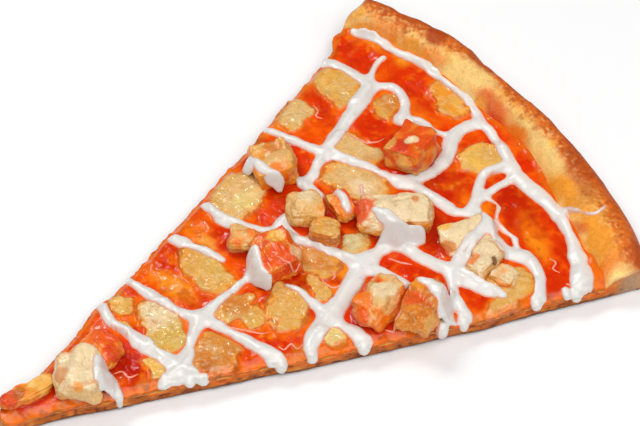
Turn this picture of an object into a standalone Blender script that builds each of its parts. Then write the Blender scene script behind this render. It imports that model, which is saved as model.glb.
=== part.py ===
"""A slice of buffalo chicken pizza: a dough crust with a raised rim, a layer of sauce and melted
cheese with thick ranch drizzle, and chunks of chicken bedded in it.

Metres, +Z up. The slice rests on z = 0, its tip towards -Y and its rim towards +Y, with the middle of
its box at x = 0, y = 0. Places on the slice are given in millimetres from the middle of the whole
pizza: x across, y along the line from the tip to the rim.
"""

import math

import bmesh
import bpy
from mathutils import Matrix, Vector, noise
from mathutils.bvhtree import BVHTree

MM = 0.001

# Driving sizes, in millimetres unless a name says otherwise
PIZZA_RADIUS = 177.0
SLICE_ANGLE = math.radians(40.9)
TIP_REACH = 3.0
TIP_NOSE = 2.2
TIP_NOSE_SPREAD = 5.0
FLOOR_TOP = 4.0
LAYER_TOP = 6.6
RIM_FOOT = 165.5
RIM_HEIGHT = 13.2
GAP = 0.3
CHICKEN_BED = 5.3
BEAD_CLEARANCE = 0.4
BEAD_CREST = 0.3
BEAD_CREST_SHARE = 0.24
BEAD_OVER_SAUCE = 1.6
ABOVE_ALL = 40.0
CHUNK_BALL = 1.25
CHUNK_LUMPS = 0.8
LAYER_UNDER_RIM = 1.0

# Mesh steps
CRUST_COLUMNS = 24
CRUST_ROWS = 40
RIM_SHARE_OF_ROWS = 0.3
LAYER_COLUMNS = 16
LAYER_ROWS = 26
BEAD_STEP = 3.8
OVER_CHUNK_STEP = 2.3
CHUNK_CUTS = 3
RIM_POCKET_ROWS = 12
RIM_POCKET_SPREAD = 1.08

# The middle of the slice's box, seen from the middle of the whole pizza
BOX_MIDDLE = (-0.8, 89.4)

# Chicken chunks: name, x, y, length, width, height, turn and tilts in degrees, roundness
CHICKEN = (
    ("chicken_cube", -9.0, 139.5, 13.5, 11.0, 7.8, -66, 10, -6, 0.34),
    ("chicken_left_edge", -27.0, 105.3, 12.0, 10.8, 7.8, -20, 8, 0, 0.36),
    ("chicken_lump_a", -9.4, 103.4, 9.5, 8.5, 6.2, 60, 6, 4, 0.62),
    ("chicken_lump_b", 0.0, 103.6, 8.0, 6.8, 5.6, 35, -4, 6, 0.6),
    ("chicken_lump_c", -4.8, 112.4, 8.5, 6.0, 5.6, -10, 6, 0, 0.55),
    ("chicken_large", 6.8, 122.0, 19.5, 10.8, 7.8, 58, 5, 0, 0.58),
    ("chicken_flat", 22.2, 134.6, 14.5, 10.0, 3.4, 75, 0, 0, 0.4),
    ("chicken_crumb_a", 32.0, 132.6, 11.0, 7.0, 4.5, -70, 0, 6, 0.6),
    ("chicken_crumb_b", 39.4, 134.4, 6.0, 5.5, 3.4, 20, 0, 0, 0.6),
    ("chicken_pale", 27.4, 101.2, 14.5, 9.6, 7.2, -74, 8, 0, 0.62),
    ("chicken_shredded", 36.2, 108.4, 14.5, 8.6, 8.0, -56, 0, -8, 0.5),
    ("chicken_grilled", -0.2, 87.0, 13.0, 11.0, 7.0, -12, 10, 0, 0.42),
    ("chicken_side", -10.6, 84.0, 8.0, 6.6, 5.8, 50, 0, -8, 0.6),
    ("chicken_tip_top", -1.8, 32.4, 10.0, 8.6, 5.5, 10, 0, -4, 0.5),
    ("chicken_tip_front", 2.2, 24.0, 12.8, 11.4, 8.4, -32, 10, 0, 0.62),
    ("chicken_tip_strip", -2.4, 10.6, 14.5, 4.8, 3.8, 89, 0, 0, 0.5),
)

# The cut edges: at a distance from the pizza's middle, how far each stands out from its straight line
LEFT_CUT = (
    (0, 2.4), (20, 0.3), (36, 0.7), (44, 1.8), (51, 0.0), (74, 0.1), (88, 0.1), (100, 0.1),
    (112, -0.4), (122, 0.4), (140, 0.4), (150, 0.6), (156, 1.2), (161, 3.9), (165, 3.2), (170, 0.2),
)
RIGHT_CUT = (
    (0, 1.4), (10, 0.0), (17, -0.4), (30, 0.1), (72, 0.3), (80, 0.9), (100, 0.8), (124, 0.5),
    (131, 0.7), (140, -0.2), (150, -0.8), (165, -1.1), (178, -1.6),
)

# The rim's outer edge: at a share of the width, how far it stands out from the pizza's radius
RIM_EDGE = (
    (-1.0, -0.9), (-0.85, -0.5), (-0.7, 1.1), (-0.55, 2.9), (-0.45, 2.6), (-0.34, 1.0), (-0.1, 0.6),
    (0.15, 1.2), (0.45, 2.3), (0.7, 2.4), (1.0, 1.4),
)

# Cheese pools melted in the sauce: x, y, half length, half width, turn in degrees, rise
CHEESE_POOLS = (
    (-42.0, 138.5, 8.5, 6.0, 10, 1.1),
    (-41.5, 122.0, 6.0, 4.5, 100, 1.0),
    (-28.5, 145.5, 4.5, 4.0, 0, 1.0),
    (-20.0, 128.5, 8.0, 4.5, 20, 1.0),
    (-11.0, 121.5, 10.0, 6.0, 25, 1.1),
    (2.5, 155.5, 7.5, 5.5, 60, 1.2),
    (41.5, 135.5, 6.0, 5.0, 30, 1.1),
    (-25.5, 91.5, 9.0, 6.5, 130, 1.2),
    (-9.5, 71.0, 10.0, 5.0, 5, 1.1),
    (5.5, 70.0, 5.5, 4.0, 70, 1.0),
    (14.0, 81.5, 7.5, 5.5, -30, 1.2),
    (6.0, 96.0, 6.5, 4.5, 20, 1.0),
    (28.5, 85.5, 3.5, 3.0, 60, 1.1),
    (-0.5, 51.0, 9.5, 5.5, -10, 1.2),
    (16.0, 56.0, 7.5, 6.0, 110, 1.2),
    (7.5, 108.5, 5.0, 3.5, -40, 1.2),
    (-13.0, 46.0, 4.0, 3.0, 60, 0.9),
)

# Ranch beads on the sauce: each a run of x, y and the bead's width there
RANCH_ON_SAUCE = (
    # Along the rim
    (
        (-57, 154, 1.6), (-51.5, 157, 2.0), (-42.5, 160, 2.4), (-34, 163, 2.8), (-25, 165, 1.8),
        (-16, 166.5, 2.0), (-8, 163, 3.4),
    ),
    (
        (-8, 162.5, 3.4), (-4, 163, 2.8), (6, 161, 3.4), (15, 158.8, 4.4), (26, 159.8, 4.1),
        (35, 158.4, 2.7),
    ),
    ((35, 158.4, 2.7), (39.5, 157, 2.7), (43.6, 155.4, 4.4), (51, 151.3, 5.8), (53.6, 148.9, 5.4)),
    (
        (-8, 162, 3.6), (-9, 157, 4.0), (-7.5, 152.5, 5.0), (-3.5, 147.5, 4.2), (-1.2, 141.5, 3.6),
        (-1.5, 136.5, 3.2), (-3, 131, 3.2),
    ),
    # The upper left
    ((-52.5, 141, 3.6), (-48, 143, 3.4), (-39, 145.8, 3.8)),
    ((-43.6, 155.4, 1.5), (-43, 152.5, 1.6), (-41, 149.5, 1.8), (-38.8, 146.5, 2.6)),
    (
        (-36.8, 145.5, 4.4), (-34.2, 140.5, 4.9), (-30.3, 132.5, 4.0), (-25.6, 123, 3.7),
        (-21.5, 116, 2.9), (-19.2, 113, 2.9),
    ),
    (
        (-36, 146.5, 2.9), (-34.4, 149.4, 2.6), (-31.4, 151.2, 3.2), (-27, 150.2, 3.2),
        (-23.6, 148, 3.0), (-21.8, 145, 3.6),
    ),
    ((-22, 146, 2.4), (-17.8, 149, 2.6), (-12.2, 150.5, 1.7), (-8, 154, 1.7)),
    # From the left cut across to the middle
    (
        (-40.5, 112.6, 2.2), (-31, 117, 2.6), (-24, 120.5, 3.4), (-17.4, 124.3, 2.9),
        (-10.7, 128, 2.5), (-4, 130.8, 3.4),
    ),
    ((-4, 130.8, 3.4), (1.5, 134.2, 3.2), (10.5, 136.3, 3.5), (14, 137.4, 3.2), (17.8, 141, 2.0)),
    ((-19.4, 112.6, 2.9), (-18.6, 109.5, 3.7), (-14.5, 109.8, 3.4), (-12.3, 110.4, 2.4)),
    # The right side
    ((9, 158, 2.4), (7.9, 152.5, 2.6), (9.2, 149.5, 2.6), (13.9, 144, 2.6), (15.8, 140.5, 2.4)),
    ((13.5, 158, 2.4), (13.6, 152, 2.4), (14.1, 145, 2.6), (15.6, 140.8, 2.4)),
    (
        (17.4, 142.6, 1.7), (21, 141.8, 2.2), (23.6, 140.6, 3.7), (25.3, 134.3, 3.7),
        (28.2, 127.4, 4.0), (29.5, 124.4, 5.2),
    ),
    (
        (23.6, 140.8, 3.0), (29.9, 140, 2.9), (33.8, 140, 4.2), (38, 143.2, 4.0), (44.6, 142, 3.2),
        (49.8, 138, 3.4),
    ),
    ((30, 124.4, 5.0), (34, 125, 3.7), (40.4, 128, 3.7), (44, 129.8, 2.6)),
    ((30, 123.6, 3.6), (35.2, 120.3, 2.5), (40.4, 118.6, 3.0), (43.4, 118, 3.2)),
    (
        (28.5, 123.4, 3.8), (20.8, 120, 3.7), (14.6, 117.6, 3.4), (12.9, 114, 3.7), (13.3, 109.5, 4.6),
        (14.2, 105.6, 5.4),
    ),
    (
        (14.2, 105.6, 5.4), (18.6, 97.5, 5.2), (21, 93, 4.6), (22.7, 88.6, 5.8), (24.6, 84, 5.2),
        (26.7, 80.1, 4.4), (28.4, 78.2, 4.0),
    ),
    ((14.5, 105.8, 4.5), (19.4, 108.4, 3.7), (25.9, 111, 2.9)),
    ((23, 88.2, 4.6), (27.7, 89.4, 3.2), (31.2, 90.6, 3.7), (34, 91.3, 3.4)),
    # The middle
    (
        (-27.8, 83, 2.2), (-23.9, 83.4, 2.6), (-19.8, 84.2, 3.4), (-14.2, 88.4, 2.3),
        (-10.4, 92.6, 2.0), (-10.4, 96, 2.6),
    ),
    (
        (-11.6, 98.4, 2.4), (-9.6, 96.2, 3.4), (-5, 95.6, 3.7), (-1, 97.4, 2.9), (4.2, 101, 2.9),
        (8.4, 102.8, 3.3), (13, 104.6, 5.0),
    ),
    ((8.2, 84.8, 1.7), (11, 86.4, 2.2), (18.5, 87.6, 2.9), (22, 88.8, 4.2)),
    ((-22.8, 69.4, 3.4), (-20, 71, 3.7), (-16.9, 72.3, 2.3), (-12.8, 74.4, 2.6), (-9.5, 75.8, 1.9)),
    # Towards the tip
    ((-18.6, 51.8, 2.0), (-14, 52.8, 2.6), (-9.8, 54, 3.4), (-2, 56.8, 2.7), (3.4, 59.8, 4.6)),
    ((3.4, 60.4, 4.4), (2.6, 64, 3.4), (1.5, 69, 2.1), (0.6, 74, 2.2), (-0.8, 78, 1.8)),
    ((4, 60.6, 3.6), (9, 62.9, 2.4), (16.4, 65.6, 2.8), (25, 67.2, 3.4)),
    (
        (4, 59.4, 4.2), (7.1, 55.5, 3.4), (9.9, 52.4, 2.9), (12.7, 49.2, 4.4), (14.2, 46, 5.8),
        (15.2, 42.4, 3.7), (15.2, 40.8, 2.5),
    ),
    ((14.5, 47, 5.0), (17.3, 48, 4.4)),
    (
        (-15.2, 41.4, 2.3), (-10.6, 40.4, 3.2), (-6.8, 40.9, 2.2), (-2.2, 42.5, 3.2), (1.8, 43.2, 4.4),
        (6.1, 44.3, 3.5), (13, 47, 4.6),
    ),
    ((8, 29.6, 3.4), (10.3, 29, 3.0)),
)

# Ranch beads over chunks: chunk, then x, y and width along the bead
RANCH_ON_CHICKEN = (
    (
        "chicken_left_edge",
        ((-31.6, 99.6, 2.4), (-27.5, 100.2, 2.8), (-23.5, 100.9, 2.8), (-20.6, 102.6, 2.2)),
    ),
    ("chicken_lump_c", ((-8.6, 113.4, 2.4), (-4.4, 113.0, 2.6), (-1.4, 111.8, 2.0))),
    ("chicken_large", ((2.4, 116.6, 3.4), (6.0, 118.4, 5.0), (9.8, 119.2, 5.4), (13.2, 117.6, 4.6))),
    ("chicken_grilled", ((-5.0, 84.4, 3.6), (-3.2, 82.2, 4.2), (-0.8, 80.8, 4.2), (2.2, 80.0, 3.4))),
    ("chicken_shredded", ((30.4, 113.0, 2.8), (34.2, 114.2, 3.8), (37.6, 113.4, 4.4), (40.2, 111.4, 4.4))),
    ("chicken_tip_front", ((3.4, 29.4, 3.0), (6.0, 27.8, 3.6), (8.4, 26.4, 3.2))),
)

# Colours of the three finishes: red, green, blue, then roughness
DOUGH_FINISH = ((0.78, 0.47, 0.20), 0.7)
SAUCE_FINISH = ((0.75, 0.12, 0.02), 0.25)
CHICKEN_FINISH = ((0.83, 0.52, 0.25), 0.5)


def from_middle(x, y, z):
    """A place in millimetres from the pizza's middle, as metres in the part's own frame."""
    return Vector((x - BOX_MIDDLE[0], y - BOX_MIDDLE[1], z)) * MM


def to_middle(place):
    """The same place back in millimetres from the pizza's middle, flat on the ground."""
    return Vector((place.x / MM + BOX_MIDDLE[0], place.y / MM + BOX_MIDDLE[1]))


def wave(angle, reach, seed, size):
    """A smooth uneven value between about -1 and 1, for a place on the slice."""
    return noise.noise(Vector((angle * reach / size, reach / size, seed)))


def bump(value, middle, spread):
    return math.exp(-(((value - middle) / spread) ** 2))


def along_knots(knots, place):
    """A value that eases from one knot to the next, for knots of a place and a value."""
    for (start, first), (end, last) in zip(knots, knots[1:]):
        if place <= end:
            share = max(0.0, (place - start) / (end - start))
            return first + (last - first) * share * share * (3 - 2 * share)
    return knots[-1][1]


def half_angle(side, reach):
    """The angle of one cut edge at a distance from the pizza's middle; the cut bows a little."""
    bow = along_knots(RIGHT_CUT if side > 0 else LEFT_CUT, reach)
    return SLICE_ANGLE / 2 + math.atan2(bow, reach)


def slice_place(share, reach, height, outside=0.0):
    """A place by its share of the width, from -1 at the left cut to 1 at the right, and its distance.

    The tip's end bulges out in its middle. The outside distance moves the place in towards the tip.
    """
    angle = share * half_angle(1 if share > 0 else -1, reach)
    nose = TIP_NOSE * (1 - share * share) * bump(reach, TIP_REACH, TIP_NOSE_SPREAD)
    inner = reach - outside
    return from_middle(inner * math.sin(angle), inner * math.cos(angle) - nose, height)


def rim_foot(share):
    """Distance of the rim's inner foot, which wanders along the slice."""
    return RIM_FOOT + 1.6 * math.sin(2.6 * share + 2.4) + 0.9 * math.sin(7.5 * share + 0.5)


def rim_edge(share):
    """Distance of the rim's outer edge."""
    return PIZZA_RADIUS + along_knots(RIM_EDGE, share)


def rim_top(share, across):
    """Height of the rim's surface for a share of the way from its foot to its outer edge."""
    crest = RIM_HEIGHT + 0.7 * math.sin(6.0 * share + 1.2) - 5.5 * bump(share, 1.02, 0.1)
    lean = 2 * across ** 1.25 - 1
    return FLOOR_TOP + (crest - FLOOR_TOP) * max(0.0, 1 - abs(lean) ** 2.6) ** 0.55


def collection(name):
    group = bpy.data.collections.new(name)
    bpy.context.scene.collection.children.link(group)
    return group


def finish(name, colour_and_roughness):
    colour, roughness = colour_and_roughness
    material = bpy.data.materials.new(name)
    material.use_nodes = True
    shader = material.node_tree.nodes["Principled BSDF"]
    shader.inputs["Base Color"].default_value = (*colour, 1.0)
    shader.inputs["Roughness"].default_value = roughness
    shader.inputs["Metallic"].default_value = 0.0
    return material


def to_object(name, bm, group, material=None):
    """A mesh object from a closed bmesh, with its faces pointing out."""
    bmesh.ops.recalc_face_normals(bm, faces=bm.faces)
    if bm.calc_volume(signed=True) < 0:
        bmesh.ops.reverse_faces(bm, faces=bm.faces[:])
    mesh = bpy.data.meshes.new(name)
    bm.to_mesh(mesh)
    bm.free()
    if material:
        mesh.materials.append(material)
    made = bpy.data.objects.new(name, mesh)
    group.objects.link(made)
    return made


def grid_sheet(columns, rows, surface):
    """A grid whose corners are put in place by surface(share across, share along)."""
    bm = bmesh.new()
    bmesh.ops.create_grid(bm, x_segments=columns, y_segments=rows, size=1.0)
    for corner in bm.verts:
        corner.co = surface(corner.co.x, (corner.co.y + 1) / 2)
    return bm


def drop_skirt(bm, faces, lower):
    """Extrudes faces downwards, moving each new corner by lower(corner), and returns the new faces."""
    made = bmesh.ops.extrude_face_region(bm, geom=faces, use_keep_orig=True)["geom"]
    for corner in [item for item in made if isinstance(item, bmesh.types.BMVert)]:
        corner.co = lower(corner.co)
    return [item for item in made if isinstance(item, bmesh.types.BMFace)]


def merge_flat(bm, height):
    """Joins the faces that lie flat at one height into one."""
    flat = [face for face in bm.faces if all(abs(v.co.z - height * MM) < 1e-6 for v in face.verts)]
    bmesh.ops.dissolve_faces(bm, faces=flat)


def rim_surface(share, across, grown):
    """A place on the rim, from its foot to its outer edge, or that far outside its surface."""
    reach = rim_foot(share) + (rim_edge(share) - rim_foot(share)) * across
    height = rim_top(share, across) + 0.5 * wave(share, reach, 4.0, 9.0) * math.sin(math.pi * across)
    return slice_place(share, reach, height + grown, grown)


def build_crust(group):
    """The dough: a flat floor and, round the outside, a raised rim."""

    def top(share, along):
        floor_share = 1 - RIM_SHARE_OF_ROWS
        if along > floor_share + 1e-6:
            return rim_surface(share, min(1.0, (along - floor_share) / RIM_SHARE_OF_ROWS), 0.0)
        reach = TIP_REACH + (rim_foot(share) - TIP_REACH) * along / floor_share
        return slice_place(share, reach, FLOOR_TOP)

    def tuck(corner, inset, height):
        """The same corner lower down, drawn in under the rim."""
        flat = to_middle(corner)
        under_rim = max(0.0, (flat.length - RIM_FOOT) / (PIZZA_RADIUS - RIM_FOOT))
        pulled = flat * (1 - inset * under_rim / flat.length)
        return from_middle(pulled.x, pulled.y, height)

    bm = grid_sheet(CRUST_COLUMNS, CRUST_ROWS, top)
    merge_flat(bm, FLOOR_TOP)
    middle = drop_skirt(bm, bm.faces[:], lambda corner: tuck(corner, 0.6, 2.0))
    bottom = drop_skirt(bm, middle, lambda corner: tuck(corner, 3.0, 0.0))
    bmesh.ops.delete(bm, geom=middle, context="FACES")
    bmesh.ops.dissolve_faces(bm, faces=bottom)
    return to_object("crust", bm, group, finish("baked_dough", DOUGH_FINISH))


def build_rim_pocket(group):
    """The space that the rim needs, with a gap round it, which trims the layer and its ranch."""

    def top(share, across):
        return rim_surface(share * RIM_POCKET_SPREAD, across, GAP)

    bm = grid_sheet(CRUST_COLUMNS, RIM_POCKET_ROWS, top)
    drop_skirt(bm, bm.faces[:], lambda corner: Vector((corner.x, corner.y, (FLOOR_TOP - GAP) * MM)))
    return to_object("rim_pocket", bm, group)


def pool_rise(x, y):
    """How far the melted cheese stands above the sauce at a place."""
    rise = 0.0
    for pool_x, pool_y, half_length, half_width, turn, height in CHEESE_POOLS:
        around = math.radians(turn)
        along = (x - pool_x) * math.cos(around) + (y - pool_y) * math.sin(around)
        aside = (y - pool_y) * math.cos(around) - (x - pool_x) * math.sin(around)
        spread = (along / half_length) ** 2 + (aside / half_width) ** 2
        rise = max(rise, height * max(0.0, 1 - spread ** 1.5))
    return rise


def layer_height(x, y):
    """Height of the sauce and cheese at a place, before the ranch and the chicken."""
    return LAYER_TOP + pool_rise(x, y) + 0.25 * noise.noise(Vector((x / 7.0, y / 7.0, 9.0)))


def build_layer(group):
    """The layer of sauce and melted cheese, which runs out to both cut sides."""

    def top(share, along):
        start = TIP_REACH + GAP
        reach = start + (rim_foot(share) + LAYER_UNDER_RIM - start) * along
        place = slice_place(share, reach, 0.0)
        shoulder = 0.7 * abs(share) ** 12
        place.z = (layer_height(*to_middle(place)) - shoulder) * MM
        return place

    bm = grid_sheet(LAYER_COLUMNS, LAYER_ROWS, top)
    underside = (FLOOR_TOP + GAP) * MM
    bottom = drop_skirt(bm, bm.faces[:], lambda corner: Vector((corner.x, corner.y, underside)))
    bmesh.ops.dissolve_faces(bm, faces=bottom)
    return to_object("sauce_and_cheese", bm, group, finish("buffalo_sauce", SAUCE_FINISH))


def smooth_path(points, step):
    """Places and widths about a step apart on a smooth curve through the given ones."""
    knots = [Vector(point) for point in points]
    knots = [2 * knots[0] - knots[1], *knots, 2 * knots[-1] - knots[-2]]
    path = [knots[1]]
    for before, start, end, after in zip(knots, knots[1:], knots[2:], knots[3:]):
        count = max(1, round((end - start).xy.length / step))
        for index in range(1, count + 1):
            t = index / count
            path.append(
                0.5
                * (
                    2 * start
                    + (end - before) * t
                    + (2 * before - 5 * start + 4 * end - after) * t ** 2
                    + (3 * start - before - 3 * end + after) * t ** 3
                )
            )
    return path


def bead(name, path, widths, group):
    """A round bead of ranch along a path of points in metres, as a closed mesh object."""
    curve = bpy.data.curves.new(name, "CURVE")
    curve.dimensions = "3D"
    curve.bevel_depth = MM / 2
    curve.bevel_resolution = 2
    curve.use_fill_caps = True
    line = curve.splines.new("POLY")
    line.points.add(len(path) - 1)
    for index, (point, place) in enumerate(zip(line.points, path)):
        point.co = (*place, 1.0)
        end_taper = min(1.0, 0.6 + 0.35 * min(index, len(path) - 1 - index))
        point.radius = end_taper * widths[index]
    drawn = bpy.data.objects.new(name + "_line", curve)
    bpy.context.scene.collection.objects.link(drawn)
    bpy.context.view_layer.update()
    mesh = bpy.data.meshes.new_from_object(drawn.evaluated_get(bpy.context.evaluated_depsgraph_get()))
    bpy.data.objects.remove(drawn)
    bm = bmesh.new()
    bm.from_mesh(mesh)
    bmesh.ops.remove_doubles(bm, verts=bm.verts, dist=1e-6)
    lowest = (FLOOR_TOP + GAP + BEAD_CLEARANCE) * MM
    for corner in bm.verts:
        corner.co.z = max(corner.co.z, lowest)
    return to_object(name, bm, group)


def bead_sink(width):
    """How far the middle line of a bead lies below its crest."""
    return width / 2 - (BEAD_CREST + BEAD_CREST_SHARE * width)


def build_ranch_on_sauce(group):
    for number, points in enumerate(RANCH_ON_SAUCE):
        flat = smooth_path(points, BEAD_STEP)
        widths = [width for _, _, width in flat]
        path = [from_middle(x, y, layer_height(x, y) - bead_sink(width)) for x, y, width in flat]
        bead(f"ranch_{number:02d}", path, widths, group)


def chunk_mesh(length, width, height, turn, tilt, lean, roundness, seed, grown):
    """A diced piece: a cube with rounded corners and an uneven surface, resting at its bed."""
    bm = bmesh.new()
    bmesh.ops.create_cube(bm, size=2.0)
    bmesh.ops.subdivide_edges(bm, edges=bm.edges[:], cuts=CHUNK_CUTS, use_grid_fill=True)
    half = Vector((length / 2, width / 2, height / 2))
    rotation = (
        Matrix.Rotation(math.radians(turn), 3, "Z")
        @ Matrix.Rotation(math.radians(tilt), 3, "X")
        @ Matrix.Rotation(math.radians(lean), 3, "Y")
    )
    for corner in bm.verts:
        rounded = corner.co.lerp(corner.co.normalized() * CHUNK_BALL, roundness)
        uneven = noise.noise(corner.co * CHUNK_LUMPS + Vector((seed * 5.3, seed * 1.7, seed)))
        swell = 1 + (0.1 + 0.2 * roundness) * uneven
        corner.co = rotation @ Vector((rounded[axis] * half[axis] * swell for axis in range(3)))
        corner.co += grown * corner.co.normalized()
    low = min(corner.co.z for corner in bm.verts)
    for corner in bm.verts:
        corner.co.z += CHICKEN_BED - grown - low
    return bm


def build_chunk(number, row, group, cutters, ranch):
    """A chunk of chicken, the pocket that it makes in the layer, and the ranch over it."""
    name, x, y, *form = row
    shape = (*form, number + 1)
    place = Matrix.Translation(from_middle(x, y, 0)) @ Matrix.Scale(MM, 4)
    solid = chunk_mesh(*shape, grown=0.0)
    solid.transform(place)
    surface = BVHTree.FromBMesh(solid)
    made = to_object(name, solid, group, finish(name + "_meat", CHICKEN_FINISH))
    own_beads = []
    for chunk, points in RANCH_ON_CHICKEN:
        if chunk == name:
            flat = smooth_path(points, OVER_CHUNK_STEP)
            widths = [width for _, _, width in flat]
            path = ranch_over(surface, flat)
            over = ranch_collection(name + "_ranch", ranch)
            bead(name + "_bead", path, widths, over)
            join_with(made, over)
            own_beads.append((path, widths))
    if number > 0:
        cut_with(made, cutters)
    pocket = chunk_mesh(*shape, grown=GAP)
    pocket.transform(place)
    to_object(name + "_pocket", pocket, cutters)
    for path, widths in own_beads:
        bead(name + "_bead_pocket", path, [width + 2 * GAP for width in widths], cutters)


def ranch_collection(name, parent):
    group = bpy.data.collections.new(name)
    parent.children.link(group)
    return group


def ranch_over(surface, flat):
    """The path of a bead that lies on a chunk and hangs a little way down its sides."""
    path = []
    for x, y, width in flat:
        lowest = LAYER_TOP + BEAD_OVER_SAUCE + width / 2
        hit = surface.ray_cast(from_middle(x, y, ABOVE_ALL), Vector((0, 0, -1)))[0]
        crest = hit.z / MM if hit else lowest
        path.append(from_middle(x, y, max(lowest, crest - bead_sink(width))))
    return path


def join_with(target, group):
    """Fuses a collection's objects to a target by one union, then removes them."""
    union = target.modifiers.new("fuse", "BOOLEAN")
    union.operation = "UNION"
    union.operand_type = "COLLECTION"
    union.collection = group
    union.solver = "EXACT"
    apply_modifiers(target)
    for item in list(group.objects):
        bpy.data.objects.remove(item)
    bpy.data.collections.remove(group)


def cut_with(target, group):
    cut = target.modifiers.new("pockets", "BOOLEAN")
    cut.operation = "DIFFERENCE"
    cut.operand_type = "COLLECTION"
    cut.collection = group
    cut.solver = "EXACT"
    apply_modifiers(target)


def apply_modifiers(target):
    """Bakes the modifiers into the mesh and keeps only its largest body."""
    bpy.context.view_layer.update()
    mesh = bpy.data.meshes.new_from_object(target.evaluated_get(bpy.context.evaluated_depsgraph_get()))
    target.modifiers.clear()
    target.data = mesh
    bm = bmesh.new()
    bm.from_mesh(mesh)
    bmesh.ops.remove_doubles(bm, verts=bm.verts, dist=1e-6)
    bmesh.ops.triangulate(bm, faces=bm.faces[:])
    bodies = loose_bodies(bm)
    for body in sorted(bodies, key=len, reverse=True)[1:]:
        bmesh.ops.delete(bm, geom=list(body), context="VERTS")
    bm.to_mesh(mesh)
    bm.free()


def loose_bodies(bm):
    """The sets of corners that hang together."""
    left = set(bm.verts)
    bodies = []
    while left:
        body = set()
        waiting = [left.pop()]
        while waiting:
            corner = waiting.pop()
            body.add(corner)
            for edge in corner.link_edges:
                other = edge.other_vert(corner)
                if other in left:
                    left.remove(other)
                    waiting.append(other)
        bodies.append(body)
    return bodies


def build():
    for item in list(bpy.data.objects):
        bpy.data.objects.remove(item)
    group = collection("buffalo_chicken_pizza_slice")
    cutters = collection("cutters")
    ranch = collection("ranch")
    build_crust(group)
    layer = build_layer(group)
    on_sauce = ranch_collection("ranch_on_sauce", ranch)
    build_ranch_on_sauce(on_sauce)
    join_with(layer, on_sauce)
    for number, row in enumerate(CHICKEN):
        build_chunk(number, row, group, cutters, ranch)
    build_rim_pocket(cutters)
    cut_with(layer, cutters)
    for cutter in cutters.objects:
        cutter.hide_render = True
        cutter.display_type = "WIRE"
    bpy.data.collections.remove(ranch)


build()
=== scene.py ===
"""The looks of a slice of buffalo chicken pizza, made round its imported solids.

Places on the slice are in millimetres from the middle of the whole pizza: x across, y along the line
from the tip to the rim, z up from the surface that the slice lies on.
"""

import math

import bmesh
import bpy
import numpy as np
from mathutils import Matrix, Vector, noise
from mathutils.bvhtree import BVHTree


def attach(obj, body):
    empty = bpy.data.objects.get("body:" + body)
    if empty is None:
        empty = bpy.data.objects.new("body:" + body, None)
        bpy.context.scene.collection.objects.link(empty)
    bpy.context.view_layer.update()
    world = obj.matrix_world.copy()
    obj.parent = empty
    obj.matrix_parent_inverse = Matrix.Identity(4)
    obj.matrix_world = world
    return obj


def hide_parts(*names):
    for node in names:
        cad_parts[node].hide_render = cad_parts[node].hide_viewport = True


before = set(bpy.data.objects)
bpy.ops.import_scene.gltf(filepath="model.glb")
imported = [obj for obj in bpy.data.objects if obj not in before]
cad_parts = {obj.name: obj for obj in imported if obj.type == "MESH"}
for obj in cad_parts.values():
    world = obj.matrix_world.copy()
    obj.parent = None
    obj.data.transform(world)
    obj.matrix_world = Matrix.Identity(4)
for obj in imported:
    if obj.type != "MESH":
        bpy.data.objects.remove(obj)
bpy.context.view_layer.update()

MM = 0.001
BOX_MIDDLE = (-0.8, 89.4)

# Sizes of the slice, as in the part's own source
PIZZA_RADIUS = 177.0
SLICE_ANGLE = math.radians(40.9)
TIP_REACH = 3.0
TIP_NOSE = 2.2
TIP_NOSE_SPREAD = 5.0
FLOOR_TOP = 4.0
LAYER_TOP = 6.6
RIM_FOOT = 165.5
RIM_HEIGHT = 13.2
CHICKEN_BED = 5.3
GAP = 0.3

LEFT_CUT = (
    (0, 2.4), (20, 0.3), (36, 0.7), (44, 1.8), (51, 0.0), (74, 0.1), (88, 0.1), (100, 0.1),
    (112, -0.4), (122, 0.4), (140, 0.4), (150, 0.6), (156, 1.2), (161, 3.9), (165, 3.2), (170, 0.2),
)
RIGHT_CUT = (
    (0, 1.4), (10, 0.0), (17, -0.4), (30, 0.1), (72, 0.3), (80, 0.9), (100, 0.8), (124, 0.5),
    (131, 0.7), (140, -0.2), (150, -0.8), (165, -1.1), (178, -1.6),
)
RIM_EDGE = (
    (-1.0, -0.9), (-0.85, -0.5), (-0.7, 1.1), (-0.55, 2.9), (-0.45, 2.6), (-0.34, 1.0), (-0.1, 0.6),
    (0.15, 1.2), (0.45, 2.3), (0.7, 2.4), (1.0, 1.4),
)

# Melted cheese: how blunt its patches are, and how far it stands above the sauce
CHEESE_BLUNT = 3.0
CHEESE_RISE = 0.6

# Mesh steps
LAYER_COLUMNS = 230
LAYER_ROWS = 400
LAYER_RINGS = 6
RIM_COLUMNS = 330
RIM_ROWS = 64
FLOOR_ROWS = 300
CRUST_RINGS = 16
TIP_CORNERS = 12
CHUNK_CELLS = 34
BEAD_STEP = 0.7
RANCH_VOXEL = 0.34

# A height above everything, from which rays look down
SKY = 40.0

# The middle of the layer along the slice, from which its sides ripple outwards
LAYER_MIDDLE = 95.0

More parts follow.
